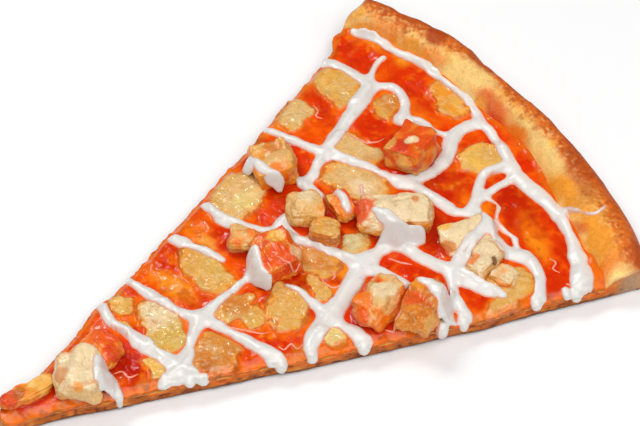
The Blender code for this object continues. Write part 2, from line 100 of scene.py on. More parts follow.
# Colours: red, green and blue as seen on a screen, 0 to 255
COLOURS = {
    "deep red": (184, 24, 0),
    "red": (216, 46, 0),
    "red orange": (233, 78, 0),
    "orange": (243, 118, 10),
    "amber": (244, 152, 30),
    "yellow": (244, 188, 84),
    "cream": (238, 212, 166),
    "pale yellow": (240, 212, 132),
    "straw": (220, 178, 82),
    "tan": (228, 170, 82),
    "light tan": (230, 184, 116),
    "olive tan": (206, 164, 92),
    "toast": (212, 118, 34),
    "brown": (176, 84, 24),
    "dark brown": (98, 42, 14),
    "crumb grey": (190, 156, 120),
    "crust pale": (255, 216, 132),
    "crust gold": (248, 172, 66),
    "crust amber": (218, 104, 18),
    "crust brown": (176, 68, 12),
    "crust dark": (104, 44, 16),
    "ranch": (227, 224, 219),
    "ranch shade": (220, 214, 206),
    "pink": (240, 172, 148),
    "rose": (236, 120, 84),
    "pale green": (214, 200, 146),
}

# Chicken chunks: name, x, y, length, width, height, turn and tilts in degrees, roundness
CHICKEN = (
    ("chicken_cube", -9.0, 139.5, 13.5, 11.0, 7.8, -66, 10, -6, 0.34),
    ("chicken_left_edge", -27.0, 105.3, 12.0, 10.8, 7.8, -20, 8, 0, 0.36),
    ("chicken_lump_a", -9.4, 103.4, 9.5, 8.5, 6.2, 60, 6, 4, 0.62),
    ("chicken_lump_b", 0.0, 103.6, 8.0, 6.8, 5.6, 35, -4, 6, 0.6),
    ("chicken_lump_c", -4.8, 112.4, 8.5, 6.0, 5.6, -10, 6, 0, 0.55),
    ("chicken_large", 6.8, 122.0, 19.5, 10.8, 7.8, 58, 5, 0, 0.58),
    ("chicken_flat", 22.2, 134.6, 14.5, 10.0, 3.4, 75, 0, 0, 0.4),
    ("chicken_crumb_a", 32.0, 132.6, 11.0, 7.0, 4.5, -70, 0, 6, 0.6),
    ("chicken_crumb_b", 39.4, 134.4, 6.0, 5.5, 3.4, 20, 0, 0, 0.6),
    ("chicken_pale", 27.4, 101.2, 14.5, 9.6, 7.2, -74, 8, 0, 0.62),
    ("chicken_shredded", 36.2, 108.4, 14.5, 8.6, 8.0, -56, 0, -8, 0.5),
    ("chicken_grilled", -0.2, 87.0, 13.0, 11.0, 7.0, -12, 10, 0, 0.42),
    ("chicken_side", -10.6, 84.0, 8.0, 6.6, 5.8, 50, 0, -8, 0.6),
    ("chicken_tip_top", -1.8, 32.4, 10.0, 8.6, 5.5, 10, 0, -4, 0.5),
    ("chicken_tip_front", 2.2, 24.0, 12.8, 11.4, 8.4, -32, 10, 0, 0.62),
    ("chicken_tip_strip", -2.4, 10.6, 14.5, 4.8, 3.8, 89, 0, 0, 0.5),
)

# Cheese pools melted in the sauce: x, y, half length, half width, turn
CHEESE_POOLS = (
    (-42.0, 139.2, 8.5, 5.4, 10), (-41.5, 122.0, 6.0, 4.5, 100), (-28.5, 145.5, 4.5, 4.0, 0),
    (-20.0, 128.5, 8.0, 4.5, 20), (-11.0, 121.5, 10.0, 6.0, 25), (2.5, 155.5, 7.5, 5.5, 60),
    (41.5, 135.5, 6.0, 5.0, 30), (-25.5, 91.5, 9.0, 6.5, 130), (-9.5, 71.0, 10.0, 5.0, 5),
    (5.5, 70.0, 5.5, 4.0, 70), (14.0, 81.5, 7.5, 5.5, -30), (6.0, 96.0, 6.5, 4.5, 20),
    (28.5, 85.5, 3.5, 3.0, 60), (-0.5, 51.0, 9.5, 5.5, -10), (16.0, 56.0, 7.5, 6.0, 110),
    (7.5, 108.5, 5.0, 3.5, -40), (-13.0, 46.0, 4.0, 3.0, 60),
)

# Ranch beads on the sauce: each a run of x, y and the bead's width there
RANCH_ON_SAUCE = (
    # Along the rim
    (
        (-57, 154, 1.6), (-51.5, 157, 2.0), (-42.5, 160, 2.4), (-34, 163, 2.8), (-25, 163.6, 1.8),
        (-16, 164.6, 2.0), (-8, 163, 3.4),
    ),
    (
        (-8, 162.5, 3.4), (-4, 163, 2.8), (6, 161, 3.4), (15, 158.8, 4.4), (26, 159.8, 4.1),
        (35, 158.4, 2.7),
    ),
    ((35, 158.4, 2.7), (39.5, 157, 2.7), (43.6, 155.4, 4.4), (51, 151.3, 5.8), (53.6, 148.9, 5.4)),
    (
        (-8, 162, 3.6), (-9, 157, 4.0), (-7.5, 152.5, 5.0), (-3.5, 147.5, 4.2), (-1.2, 141.5, 3.6),
        (-1.5, 136.5, 3.2), (-3, 131, 3.2),
    ),
    # The upper left
    ((-52.5, 141, 3.6), (-48, 143, 3.4), (-39, 145.8, 3.8)),
    ((-43.6, 155.4, 1.5), (-43, 152.5, 1.6), (-41, 149.5, 1.8), (-38.8, 146.5, 2.6)),
    (
        (-36.8, 145.5, 4.4), (-34.2, 140.5, 4.9), (-30.3, 132.5, 4.0), (-25.6, 123, 3.7),
        (-21.5, 116, 2.9), (-19.2, 113, 2.9),
    ),
    (
        (-36, 146.5, 2.9), (-34.4, 149.4, 2.6), (-31.4, 151.2, 3.2), (-27, 150.2, 3.2), (-23.6, 148, 3.0),
        (-21.8, 145, 3.6),
    ),
    ((-22, 146, 2.4), (-17.8, 149, 2.6), (-12.2, 150.5, 1.7), (-8, 154, 1.7)),
    # From the left cut across to the middle
    (
        (-40.5, 112.6, 2.2), (-31, 117, 2.6), (-24, 120.5, 3.4), (-17.4, 124.3, 2.9), (-10.7, 128, 2.5),
        (-4, 130.8, 3.4),
    ),
    ((-4, 130.8, 3.4), (1.5, 134.2, 3.2), (10.5, 136.3, 3.5), (14, 137.4, 3.2), (17.8, 141, 2.0)),
    ((-19.4, 112.6, 2.9), (-18.6, 109.5, 3.7), (-14.5, 109.8, 3.4), (-12.3, 110.4, 2.4)),
    # The right side
    ((9, 158, 2.4), (7.9, 152.5, 2.6), (9.2, 149.5, 2.6), (13.9, 144, 2.6), (15.8, 140.5, 2.4)),
    ((13.5, 158, 2.4), (13.6, 152, 2.4), (14.1, 145, 2.6), (15.6, 140.8, 2.4)),
    (
        (17.4, 142.6, 1.7), (21, 141.8, 2.2), (23.6, 140.6, 3.7), (25.3, 134.3, 3.7), (28.2, 127.4, 4.0),
        (29.5, 124.4, 5.2),
    ),
    (
        (23.6, 140.8, 3.0), (29.9, 140, 2.9), (33.8, 140, 4.2), (38, 143.2, 4.0), (44.6, 142, 3.2),
        (49.8, 138, 3.4),
    ),
    ((30, 124.4, 5.0), (34, 125, 3.7), (40.4, 128, 3.7), (44, 129.8, 2.6)),
    ((30, 123.6, 3.6), (35.2, 120.3, 2.5), (40.4, 118.6, 3.0), (43.4, 118, 3.2)),
    (
        (28.5, 123.4, 3.8), (20.8, 120, 3.7), (14.6, 117.6, 3.4), (12.9, 114, 3.7), (13.3, 109.5, 4.6),
        (14.2, 105.6, 5.4),
    ),
    (
        (14.2, 105.6, 5.4), (18.6, 97.5, 5.2), (21, 93, 4.6), (22.7, 88.6, 5.8), (24.6, 84, 5.2),
        (26.7, 80.1, 4.4), (28.4, 78.2, 4.0),
    ),
    ((14.5, 105.8, 4.5), (19.4, 108.4, 3.7), (25.9, 111, 2.9)),
    ((23, 88.2, 4.6), (27.7, 89.4, 3.2), (31.2, 90.6, 4.2), (34, 91.3, 4.6)),
    # The middle
    (
        (-27.8, 83, 2.2), (-23.9, 83.4, 2.6), (-19.8, 84.2, 3.4), (-14.2, 88.4, 2.3), (-10.4, 92.6, 2.0),
        (-10.4, 96, 2.6),
    ),
    (
        (-11.6, 98.4, 2.4), (-9.6, 96.2, 3.4), (-5, 95.6, 3.7), (-1, 97.4, 2.9), (4.2, 101, 2.9),
        (8.4, 102.8, 3.3), (13, 104.6, 5.0),
    ),
    ((8.2, 84.8, 1.7), (11, 86.4, 2.2), (18.5, 87.6, 2.9), (22, 88.8, 4.2)),
    ((-22.8, 69.4, 3.4), (-20, 71, 3.7), (-16.9, 72.3, 2.3), (-12.8, 74.4, 2.6), (-9.5, 75.8, 1.9)),
    # Towards the tip
    ((-18.6, 51.8, 2.0), (-14, 52.8, 2.6), (-9.8, 54, 3.4), (-2, 56.8, 2.7), (3.4, 59.8, 4.6)),
    ((3.4, 60.4, 4.4), (2.6, 64, 3.4), (1.5, 69, 2.1), (0.6, 74, 2.2), (-0.8, 78, 1.8)),
    ((4, 60.6, 3.6), (9, 62.9, 2.4), (15.6, 65.6, 3.0), (21, 67.6, 4.0), (25.6, 69.4, 4.8)),
    (
        (4, 59.4, 4.2), (7.1, 55.5, 3.4), (9.9, 52.4, 2.9), (12.7, 49.2, 4.4), (14.2, 46, 5.8),
        (15.2, 42.4, 3.7), (15.2, 40.8, 2.5),
    ),
    ((14.5, 47, 5.0), (17.3, 48, 4.4)),
    (
        (-15.2, 41.4, 2.3), (-10.6, 40.4, 3.2), (-6.8, 40.9, 2.2), (-2.2, 42.5, 3.2), (1.8, 43.2, 4.4),
        (6.1, 44.3, 3.5), (13, 47, 4.6),
    ),
    ((8, 29.6, 3.4), (10.3, 29, 3.0)),
)

# Ranch beads over chunks: chunk, then x, y and width along the bead
RANCH_ON_CHICKEN = (
    (
        "chicken_left_edge",
        ((-31.6, 99.6, 2.4), (-27.5, 100.2, 2.8), (-23.5, 100.9, 2.8), (-20.6, 102.6, 2.2)),
    ),
    ("chicken_lump_c", ((-8.6, 113.4, 2.4), (-4.4, 113.0, 2.6), (-1.4, 111.8, 2.0))),
    (
        "chicken_large",
        ((4.8, 116.6, 2.4), (8.2, 117.4, 3.8), (11.4, 118.6, 4.2), (14.0, 120.6, 3.6), (16.0, 123.4, 2.6)),
    ),
    (
        "chicken_grilled",
        ((-4.4, 83.0, 3.0), (-2.0, 81.4, 3.4), (0.6, 80.4, 3.4), (3.0, 80.2, 3.0), (5.0, 80.8, 2.2)),
    ),
    ("chicken_shredded", ((30.4, 113.0, 2.8), (34.5, 114.0, 3.8), (38.5, 114.0, 4.4), (42.0, 112.8, 4.4))),
    ("chicken_tip_front", ((3.4, 29.4, 3.0), (6.0, 27.8, 3.6), (8.4, 26.4, 3.2))),
)

# Thin threads of ranch, too fine for the solids: x, y and width along each
RANCH_THREADS = (
    (
        (15.4, 147.6, 0.9), (19, 148.1, 0.9), (22.6, 144.8, 1.0), (26.6, 144.2, 1.1), (30.2, 144.7, 1.2),
        (33.2, 143.4, 1.3),
    ),
    ((31.2, 162.0, 0.5), (35.9, 162.8, 0.6), (39.8, 164.6, 0.7), (39.9, 168.4, 0.9)),
    ((-8.5, 121.5, 0.8), (-5, 119.5, 0.8)),
)

# Thin raised lines where ranch has mixed with the sauce, their pale pink partly a painted highlight where the
# wet sauce glints: x and y along each
RANCH_GLINT_LINES = (
    ((-27.7, 130.1), (-24.8, 130.4), (-21.2, 132.3), (-19.3, 135.4), (-19.4, 137.9)),
    ((2.3, 85.9), (5.4, 87.3), (6.6, 89.0), (6.1, 90.7), (6.2, 91.9)),
    ((10.4, 94.2), (13.7, 94.2), (15.6, 95.8), (15.3, 98.3)),
    ((10.7, 97.6), (12.4, 97.7), (12.8, 96.5)),
    ((4.8, 64.1), (9.1, 65.0), (13.2, 67.9), (16.6, 71.0), (17.3, 73.1)),
    ((-41.2, 128.7), (-38.5, 128.5), (-37.0, 126.8), (-35.3, 127.9)),
    ((22.3, 72.2), (24.3, 72.7), (23.8, 75.3), (26.0, 75.7), (25.6, 77.9)),
    ((34.4, 98.1), (36.1, 99.8), (36.5, 102.1)),
    ((5.0, 32.0), (5.6, 34.4), (8.2, 34.8), (8.8, 37.3)),
    ((41.1, 148.4), (43.2, 148.8), (44.3, 146.9), (46.4, 147.6)),
    ((15.8, 112.9), (18.7, 114.7), (21.2, 116.9)),
    ((50.3, 146.5), (51.2, 147.2), (52.1, 146.8)),
)
RANCH_GLINT_LINE_HALF = 0.32


# ------------------------------------------------------------------ places and smooth noise


def from_middle(x, y, z):
    """Places in millimetres from the pizza's middle, as metres in the part's own frame."""
    return np.stack([x - BOX_MIDDLE[0], y - BOX_MIDDLE[1], z + 0.0 * x], -1) * MM


def colour(name):
    """A named colour as the linear values that Blender works with."""
    seen = np.array(COLOURS[name]) / 255
    return np.where(seen < 0.04045, seen / 12.92, ((seen + 0.055) / 1.055) ** 2.4)


def ease(value):
    value = np.clip(value, 0, 1)
    return value * value * (3 - 2 * value)


def bump(value, middle, spread):
    return np.exp(-(((value - middle) / spread) ** 2))


def soft_noise(x, y, size, seed):
    """Smooth noise between about -1 and 1, with lumps of about one size in millimetres."""
    table = np.random.default_rng(seed).random((256, 256)) * 2 - 1
    u, v = x / size + 40.0, y / size + 40.0
    i, j = np.floor(u).astype(int), np.floor(v).astype(int)
    a, b = ease(u - i), ease(v - j)
    low = table[i & 255, j & 255] * (1 - a) + table[(i + 1) & 255, j & 255] * a
    high = table[i & 255, (j + 1) & 255] * (1 - a) + table[(i + 1) & 255, (j + 1) & 255] * a
    return low * (1 - b) + high * b


def rough_noise(x, y, size, seed, layers=3):
    """Smooth noise with finer and weaker lumps on it."""
    total = 0.0
    for layer in range(layers):
        total = total + soft_noise(x, y, size / 2 ** layer, seed + layer) / 2 ** layer
    return total / (2 - 0.5 ** (layers - 1))


def along_knots(knots, place):
    """A value that eases from one knot to the next, for knots of a place and a value."""
    places, values = np.array(knots, float).T
    index = np.clip(np.searchsorted(places, place) - 1, 0, len(places) - 2)
    share = ease((place - places[index]) / (places[index + 1] - places[index]))
    return values[index] + (values[index + 1] - values[index]) * share


def slice_place(share, reach):
    """x and y of a place by its share of the width, -1 at the left cut and 1 at the right, and distance."""
    bow = np.where(share > 0, along_knots(RIGHT_CUT, reach), along_knots(LEFT_CUT, reach))
    angle = share * (SLICE_ANGLE / 2 + np.arctan2(bow, reach))
    nose = TIP_NOSE * (1 - share * share) * bump(reach, TIP_REACH, TIP_NOSE_SPREAD)
    return reach * np.sin(angle), reach * np.cos(angle) - nose


def rim_foot(share):
    return RIM_FOOT + 1.6 * np.sin(2.6 * share + 2.4) + 0.9 * np.sin(7.5 * share + 0.5)


def rim_edge(share):
    return PIZZA_RADIUS + along_knots(RIM_EDGE, share)


def rim_top(share, across):
    crest = RIM_HEIGHT + 0.7 * np.sin(6.0 * share + 1.2) - 5.5 * bump(share, 1.02, 0.1)
    lean = 2 * across ** 1.25 - 1
    return FLOOR_TOP + (crest - FLOOR_TOP) * np.maximum(0.0, 1 - np.abs(lean) ** 2.6) ** 0.55


# ------------------------------------------------------------------ painting


def oval(x, y, middle_x, middle_y, half_length, half_width, turn, power=2.0):
    """How far a place lies out from an oval's middle: 1 on its outline. More power makes blunt corners."""
    around = math.radians(turn)
    along = (x - middle_x) * math.cos(around) + (y - middle_y) * math.sin(around)
    aside = (y - middle_y) * math.cos(around) - (x - middle_x) * math.sin(around)
    return (np.abs(along / half_length) ** power + np.abs(aside / half_width) ** power) ** (1 / power)


def wavering(x, y, seed, size=3.0, reach=1.1):
    """The same places shifted a little, so that what is painted on them has uneven outlines."""
    return (
        x + reach * rough_noise(x, y, size, seed, 3),
        y + reach * rough_noise(x, y, size, seed + 20, 3),
    )


def mix(under, over, share):
    return under * (1 - share[..., None]) + over * share[..., None]


def plain(name, places):
    """One colour at every one of the places."""
    return np.broadcast_to(colour(name), (*np.shape(places), 3))


def coats(paint, *layers):
    """Lays colours over a paint one after another: each by its name and its share at every place."""
    for name, share in layers:
        paint = mix(paint, colour(name), share)
    return paint


def dab(paint, x, y, dabs, softness):
    """Lays oval dabs of colour: x, y, half length, half width, turn, colour, strength."""
    for dab_x, dab_y, half_length, half_width, turn, name, strength in dabs:
        out = oval(x, y, dab_x, dab_y, half_length, half_width, turn)
        paint = mix(paint, colour(name), strength * ease((1 + softness - out) / (2 * softness)))
    return paint


# ------------------------------------------------------------------ meshes


def linked(name, mesh):
    made = bpy.data.objects.new(name, mesh)
    bpy.context.scene.collection.objects.link(made)
    return made


def grid_quads(rows, columns):
    """Quads between the corners of a grid that is stored row by row."""
    corner = np.arange((rows - 1) * columns).reshape(rows - 1, columns)[:, :-1]
    return np.stack([corner, corner + 1, corner + columns + 1, corner + columns], -1).reshape(-1, 4)


def mesh_from(name, corners, faces):
    mesh = bpy.data.meshes.new(name)
    mesh.from_pydata(corners.tolist(), [], [list(face) for face in faces])
    mesh.update()
    return mesh


def corners_of(mesh):
    flat = np.zeros(len(mesh.vertices) * 3, np.float32)
    mesh.vertices.foreach_get("co", flat)
    return flat.reshape(-1, 3).astype(float)


def in_millimetres(mesh):
    """The mesh's corners as x, y and z in millimetres from the pizza's middle."""
    place = corners_of(mesh) / MM
    return place[:, 0] + BOX_MIDDLE[0], place[:, 1] + BOX_MIDDLE[1], place[:, 2]


def put_colour(mesh, values):
    attribute = mesh.color_attributes.new("tint", "FLOAT_COLOR", "POINT")
    rgba = np.ones((len(mesh.vertices), 4), np.float32)
    rgba[:, :3] = np.clip(values, 0, 1)
    attribute.data.foreach_set("color", rgba.ravel())


def put_number(mesh, values, name):
    attribute = mesh.attributes.new(name, "FLOAT", "POINT")
    attribute.data.foreach_set("value", np.asarray(values, np.float32))


def boundary_loop(rows, columns):
    """The corners round the outside of a grid stored row by row, starting along its first row."""
    first = list(range(columns))
    right = [row * columns + columns - 1 for row in range(1, rows)]
    last = [(rows - 1) * columns + column for column in range(columns - 2, -1, -1)]
    left = [row * columns for row in range(rows - 2, 0, -1)]
    return np.array(first + right + last + left)


def skirt_quads(loop, start, rings):
    """Quads that join a loop of corners to rings of as many corners each, stored one after another."""
    count = len(loop)
    levels = [np.asarray(loop)] + [start + ring * count + np.arange(count) for ring in range(rings)]
    quads = []
    for upper, lower in zip(levels, levels[1:]):
        quads.append(np.stack([upper, np.roll(upper, -1), np.roll(lower, -1), lower], -1))
    return np.concatenate(quads), levels[-1]


def lumps(x, y, z, size, seed):
    """Blender's smooth noise at places in millimetres, for relief that has to run on round corners."""
    shape = np.shape(x)
    places = np.stack([np.ravel(x) / size, np.ravel(y) / size, np.ravel(z) / size + seed], -1)
    return np.array([noise.noise(Vector(place)) for place in places.tolist()]).reshape(shape)


# ------------------------------------------------------------------ sauce and cheese

SAUCE_DABS = (
    # Sauce that lies deep or thin, from the rim to the tip
    (-49, 150, 9, 4, -8, "red", 0.9), (-30, 157, 13, 6, 0, "red", 0.85), (-27, 143, 5, 7, 0, "red", 0.85),
    (4, 142, 6, 6, 0, "deep red", 0.6), (23, 152, 12, 5, -10, "deep red", 0.75),
    (35, 157, 12, 3, -15, "red", 0.8), (48, 148, 9, 5, -50, "red", 0.85), (55, 143, 4, 3, 0, "red", 0.8),
    (10, 150, 4, 5, 0, "red", 0.8), (-41, 132, 5, 3.5, 0, "red", 0.8),
    (-38, 122, 6, 3, 0, "red orange", 0.9), (-29, 114, 6, 3, 0, "red", 0.8),
    (-23, 110, 3, 3, 0, "deep red", 0.9), (-21, 100, 4, 6, 0, "red", 0.8), (-15, 96, 5, 4, 0, "red", 0.8),
    (15, 127, 8, 5, 0, "deep red", 0.8), (42, 124, 7, 3, 0, "red", 0.8),
    (17.5, 115, 3.5, 4, 0, "red", 0.9), (26, 119, 3, 4, 0, "red", 0.8), (12, 98, 3, 4, 0, "deep red", 0.9),
    (33, 103, 2, 6, 0, "deep red", 0.9), (-20, 80, 5, 3, 0, "red", 0.8), (-20, 66, 6, 3, 0, "red", 0.85),
    (-4, 66, 6, 2, 0, "red", 0.8), (-11, 81, 3, 3, 0, "red", 0.8), (6, 88, 4, 3, 0, "deep red", 0.9),
    (9, 75, 5, 3, 0, "red", 0.8), (20, 74, 7, 4, 0, "red", 0.8), (14, 69.5, 4, 2, 0, "red", 0.8),
    (18, 63.5, 8, 3, 0, "red orange", 0.8), (-17, 52, 4, 3, 0, "red orange", 0.8),
    (-14, 48, 5, 3, 0, "red", 0.8), (5, 37, 6.5, 4, -10, "deep red", 1.0), (1, 14, 1.2, 5, 0, "red", 0.9),
    # Orange and yellow oil
    (-42, 160, 4, 2, 0, "amber", 0.8), (-55, 155, 4, 3, 0, "orange", 0.8),
    (-52, 157, 6, 2, 0, "amber", 0.6), (32, 150, 8, 2.5, -12, "orange", 0.7),
    (36, 148, 5, 1.5, -12, "amber", 0.5), (16, 146, 4, 2.5, 0, "orange", 0.8),
    (45, 163, 8, 3, -20, "amber", 0.8), (53, 157, 4, 5, 0, "orange", 0.8),
    (-46, 124, 2.5, 10, 20, "orange", 0.8), (-43, 114, 3, 4, 0, "orange", 0.8),
    (10, 101, 8, 3, 0, "amber", 0.8), (-10, 61, 8, 3, 10, "amber", 0.8), (-22, 76, 5, 4, 0, "orange", 0.9),
    (-17, 76, 4, 2, 0, "yellow", 0.6), (24, 84, 3, 3, 0, "orange", 0.8), (28, 77, 3, 4, 0, "toast", 0.8),
    (46, 128, 3.5, 6, 10, "amber", 0.8), (40, 112, 3, 4, 0, "orange", 0.8),
    (40, 104, 3, 6, 20, "orange", 0.8), (-8, 47, 4, 2, 0, "orange", 0.8),
    (14, 36, 2.5, 5, 10, "toast", 0.8), (11, 72, 4, 5, 0, "orange", 0.8),
    (3.4, 11, 1.6, 5, -10, "rose", 0.7), (6, 18, 2, 4, -10, "toast", 0.7),
    (8.5, 24, 2, 4, -15, "amber", 0.7),
    # A pit in the sauce by the rim
    (-18, 158.4, 1.7, 1.4, 20, "brown", 0.9), (-18.1, 158.3, 0.8, 0.7, 0, "rose", 0.9),
)

CHEESE_DABS = (
    # Each pool of cheese: its body, then what is browned, pale or oily in it
    (-43, 139, 8.5, 6, 10, "tan", 1.0), (-46, 137, 4, 3, 0, "yellow", 0.5),
    (-28.6, 147.5, 4, 4, 0, "toast", 0.8), (-20, 161, 8, 4, -5, "amber", 0.9),
    (-17, 162, 3, 2, 0, "yellow", 0.7), (2, 156, 7, 6, 60, "yellow", 0.95), (3, 158, 4, 3, 0, "tan", 0.8),
    (-4.5, 153.5, 2.5, 2, 0, "orange", 0.7), (42, 137, 8, 5, 10, "tan", 0.9),
    (-42, 124, 4.5, 7, 15, "light tan", 1.0), (-20, 129, 8.5, 5, 20, "light tan", 1.0),
    (-14, 127.5, 3, 3, 0, "toast", 0.45), (-8, 127, 1.5, 1.2, 0, "brown", 0.8),
    (-11, 122, 9, 5, 25, "light tan", 1.0), (-8, 122, 4, 2.5, 20, "cream", 0.8),
    (4, 109, 6, 4, -40, "pale green", 1.0), (-24.5, 93, 9, 6.5, 130, "light tan", 1.0),
    (-23.5, 93, 4.5, 3, 100, "pale yellow", 0.9), (-13, 71.5, 11, 5, 8, "tan", 1.0),
    (-9, 73, 4, 3, 0, "straw", 0.5), (4, 71, 4.5, 4.5, 60, "toast", 0.8), (15, 82, 8, 6, -30, "tan", 1.0),
    (13, 91, 5, 2, 0, "tan", 0.9), (3, 97, 8, 3.5, 10, "toast", 0.7),
    (28, 86, 4, 3.5, 60, "pale yellow", 0.9), (15, 57, 8, 6, 110, "toast", 0.9),
    (13, 59, 4, 3, 0, "tan", 0.3), (18, 53, 3, 2, 0, "brown", 0.5), (-4.5, 52.5, 6, 5, -10, "cream", 1.0),
    (4.5, 51.5, 5, 5.5, -10, "straw", 1.0), (-14, 45, 3, 2, 0, "yellow", 0.9),
    (-6, 42, 3, 1.6, 0, "amber", 0.9), (10, 41.5, 4, 2, 0, "yellow", 0.9),
)

# Cheese that stands no higher than the sauce, beside the pools: x, y, half length, half width, turn
THIN_CHEESE = (
    (-20, 161, 8, 4, -5), (10, 41.5, 4, 2, 0), (-14, 45, 3, 2, 0), (13, 91, 5, 2, 0), (3, 97, 8, 3.5, 10),
    (46, 128, 3, 5, 10), (-6, 42, 3, 1.6, 0), (11, 72, 3, 4, 0),
)


def cheese_distance(x, y):
    """How far a place lies out from the nearest cheese: 1 on its uneven outline."""
    near_x, near_y = wavering(x, y, 31, 4.6, 2.0)
    near_x, near_y = wavering(near_x, near_y, 33, 1.8, 0.6)
    nearest = np.full_like(x, 9.0)
    for cheese in CHEESE_POOLS + THIN_CHEESE:
        nearest = np.minimum(nearest, oval(near_x, near_y, *cheese, CHEESE_BLUNT))
    return nearest


def under_chicken(x, y):
    """How far a place lies outside the nearest chunk, in millimetres, below 0 under it."""
    away = np.full_like(x, 99.0)
    for _, chunk_x, chunk_y, length, width, _, turn, *_ in CHICKEN:
        out = oval(x, y, chunk_x, chunk_y, length / 2, width / 2, turn)
        away = np.minimum(away, (out - 1) * min(length, width) / 2)
    return away


def layer_height(x, y, nearest):
    """Height of the sauce and cheese, before the ranch and the chicken."""
    return LAYER_TOP + CHEESE_RISE * ease((1.12 - nearest) / 0.22) + 0.3 * lumps(x, y, 0 * x, 7.0, 9.0)


def layer_relief(x, y, cheese):
    """The fine form of the surface: grains on cheese, slow waves on sauce, and a rise at the chunks' feet."""
    grains = 0.40 * np.abs(rough_noise(x, y, 1.3, 41, 2)) + 0.26 * rough_noise(x, y, 2.8, 44, 2)
    waves = 0.24 * soft_noise(x, y, 4.2, 47) + 0.10 * soft_noise(x, y, 1.7, 48)
    ridges = 0.22 * np.maximum(0, 1 - np.abs(rough_noise(x, y, 3.6, 49, 2)) / 0.10)
    ridged = ease(rough_noise(x, y, 9.0, 53, 2) * 3)
    away = under_chicken(x, y)
    foot = 0.6 * np.exp(-np.maximum(away, 0) / 0.9)
    bed = 1.5 * ease((-1.2 - away) / 1.0)
    return cheese * grains + (1 - cheese) * (waves + ridges * ridged) + foot - bed


def sauce_colour(x, y, near_x, near_y, nearest):
    """Red and orange sauce, darker where it lies deep and orange with oil round the cheese, with painted
    shade in deep red round the chunks' feet.
    """
    tone = rough_noise(x, y, 8.0, 61, 3)
    patches = rough_noise(x, y, 3.6, 64, 3)
    streak = rough_noise(x, y, 1.9, 71, 3)
    # Painted shade: how near a chunk's foot a place lies, to darken the sauce there
    shade_at_foot = np.exp(-((under_chicken(x, y) - 0.3) / 1.3) ** 2)
    sauce = coats(
        plain("red orange", x),
        ("red", ease(0.45 - 1.7 * tone)),
        ("orange", 0.9 * ease(1.6 * tone + 0.9 * patches - 0.30)),
    )
    return coats(
        dab(sauce, near_x, near_y, SAUCE_DABS, 0.45),
        ("orange", 0.7 * ease((1.42 - nearest + 0.3 * patches) / 0.5)),
        ("orange", 0.32 * ease(2.4 * streak - 0.35)),
        ("deep red", 0.38 * ease(-2.4 * streak - 0.3)),
        ("deep red", 0.5 * ease(-2.6 * patches - 0.5)),
        ("amber", 0.4 * ease(3.0 * streak * patches - 0.25)),
        # Painted shade: deep red round the chunks' feet, where their shade falls on the sauce
        ("deep red", 0.8 * shade_at_foot),
    )


def cheese_colour(x, y, near_x, near_y, nearest):
    """Melted cheese: grainy, browned in places and amber at its edge, with a brown line round its outline
    that is partly browned cheese and partly painted shade below its raised edge.
    """
    grain = rough_noise(x, y, 1.1, 81, 2)
    cloud = rough_noise(x, y, 3.2, 84, 3)
    return coats(
        dab(plain("tan", x), near_x, near_y, CHEESE_DABS, 0.4),
        ("olive tan", 0.3 * ease(0.2 - 1.6 * cloud)),
        ("toast", 0.45 * ease(1.8 * cloud - 0.35)),
        ("cream", 0.28 * ease(2.2 * grain - 0.1)),
        ("toast", 0.14 * ease(-2.2 * grain - 0.2)),
        ("amber", 0.85 * ease((nearest - 0.78 + 0.35 * cloud) / 0.3)),
        # The brown line round each pool: partly browned cheese, partly painted shade below the pool's raised
        # edge
        ("brown", 0.7 * ease((nearest - 0.97 + 0.3 * cloud) / 0.07)),
    )


def layer_colour(x, y, cheese, nearest):
    """The painted colour of the layer, with uneven edges between the sauce, the oil and the cheese."""
    near_x, near_y = wavering(x, y, 51, 3.6, 1.4)
    sauce = sauce_colour(x, y, near_x, near_y, nearest)
    return mix(sauce, cheese_colour(x, y, near_x, near_y, nearest), cheese)


def browned_at_cuts(paint, to_cut, x, y):
    """Oil and browned cheese along the cut sides."""
    patches = rough_noise(x, y, 2.2, 86, 3)
    return coats(
        paint,
        ("orange", 0.8 * ease(1.1 - (to_cut - 1.2 * patches) / 2.0)),
        ("toast", 0.8 * ease(2.0 * patches - 0.1) * ease(1.3 - to_cut / 2.4)),
        ("brown", 0.8 * ease(-2.4 * patches - 0.35) * ease(1.3 - to_cut / 2.0)),
    )


def thin_at_rim(paint, to_rim, x, y):
    """Stains of oil and thin sauce where the layer ends on the dough of the rim."""
    patches = rough_noise(x, y, 3.0, 88, 3)
    return coats(
        paint,
        ("crust amber", 0.9 * ease(0.7 - (to_rim - 2.6 * patches) / 3.6)),
        ("red orange", 0.8 * ease(2.6 * patches - 0.6) * ease(1.2 - to_rim / 5.0)),
    )


def layer_side_colour(tint, down, speck):
    """The layer's sides: the colour of the top, toasted and browned further down."""
    return coats(
        tint,
        ("toast", 0.7 * ease(0.9 * down + 0.8 * speck)),
        ("brown", 0.85 * ease(-2.0 * speck + 1.4 * down - 0.3)),
        ("red orange", 0.7 * ease(2.4 * speck - 0.2)),
    )


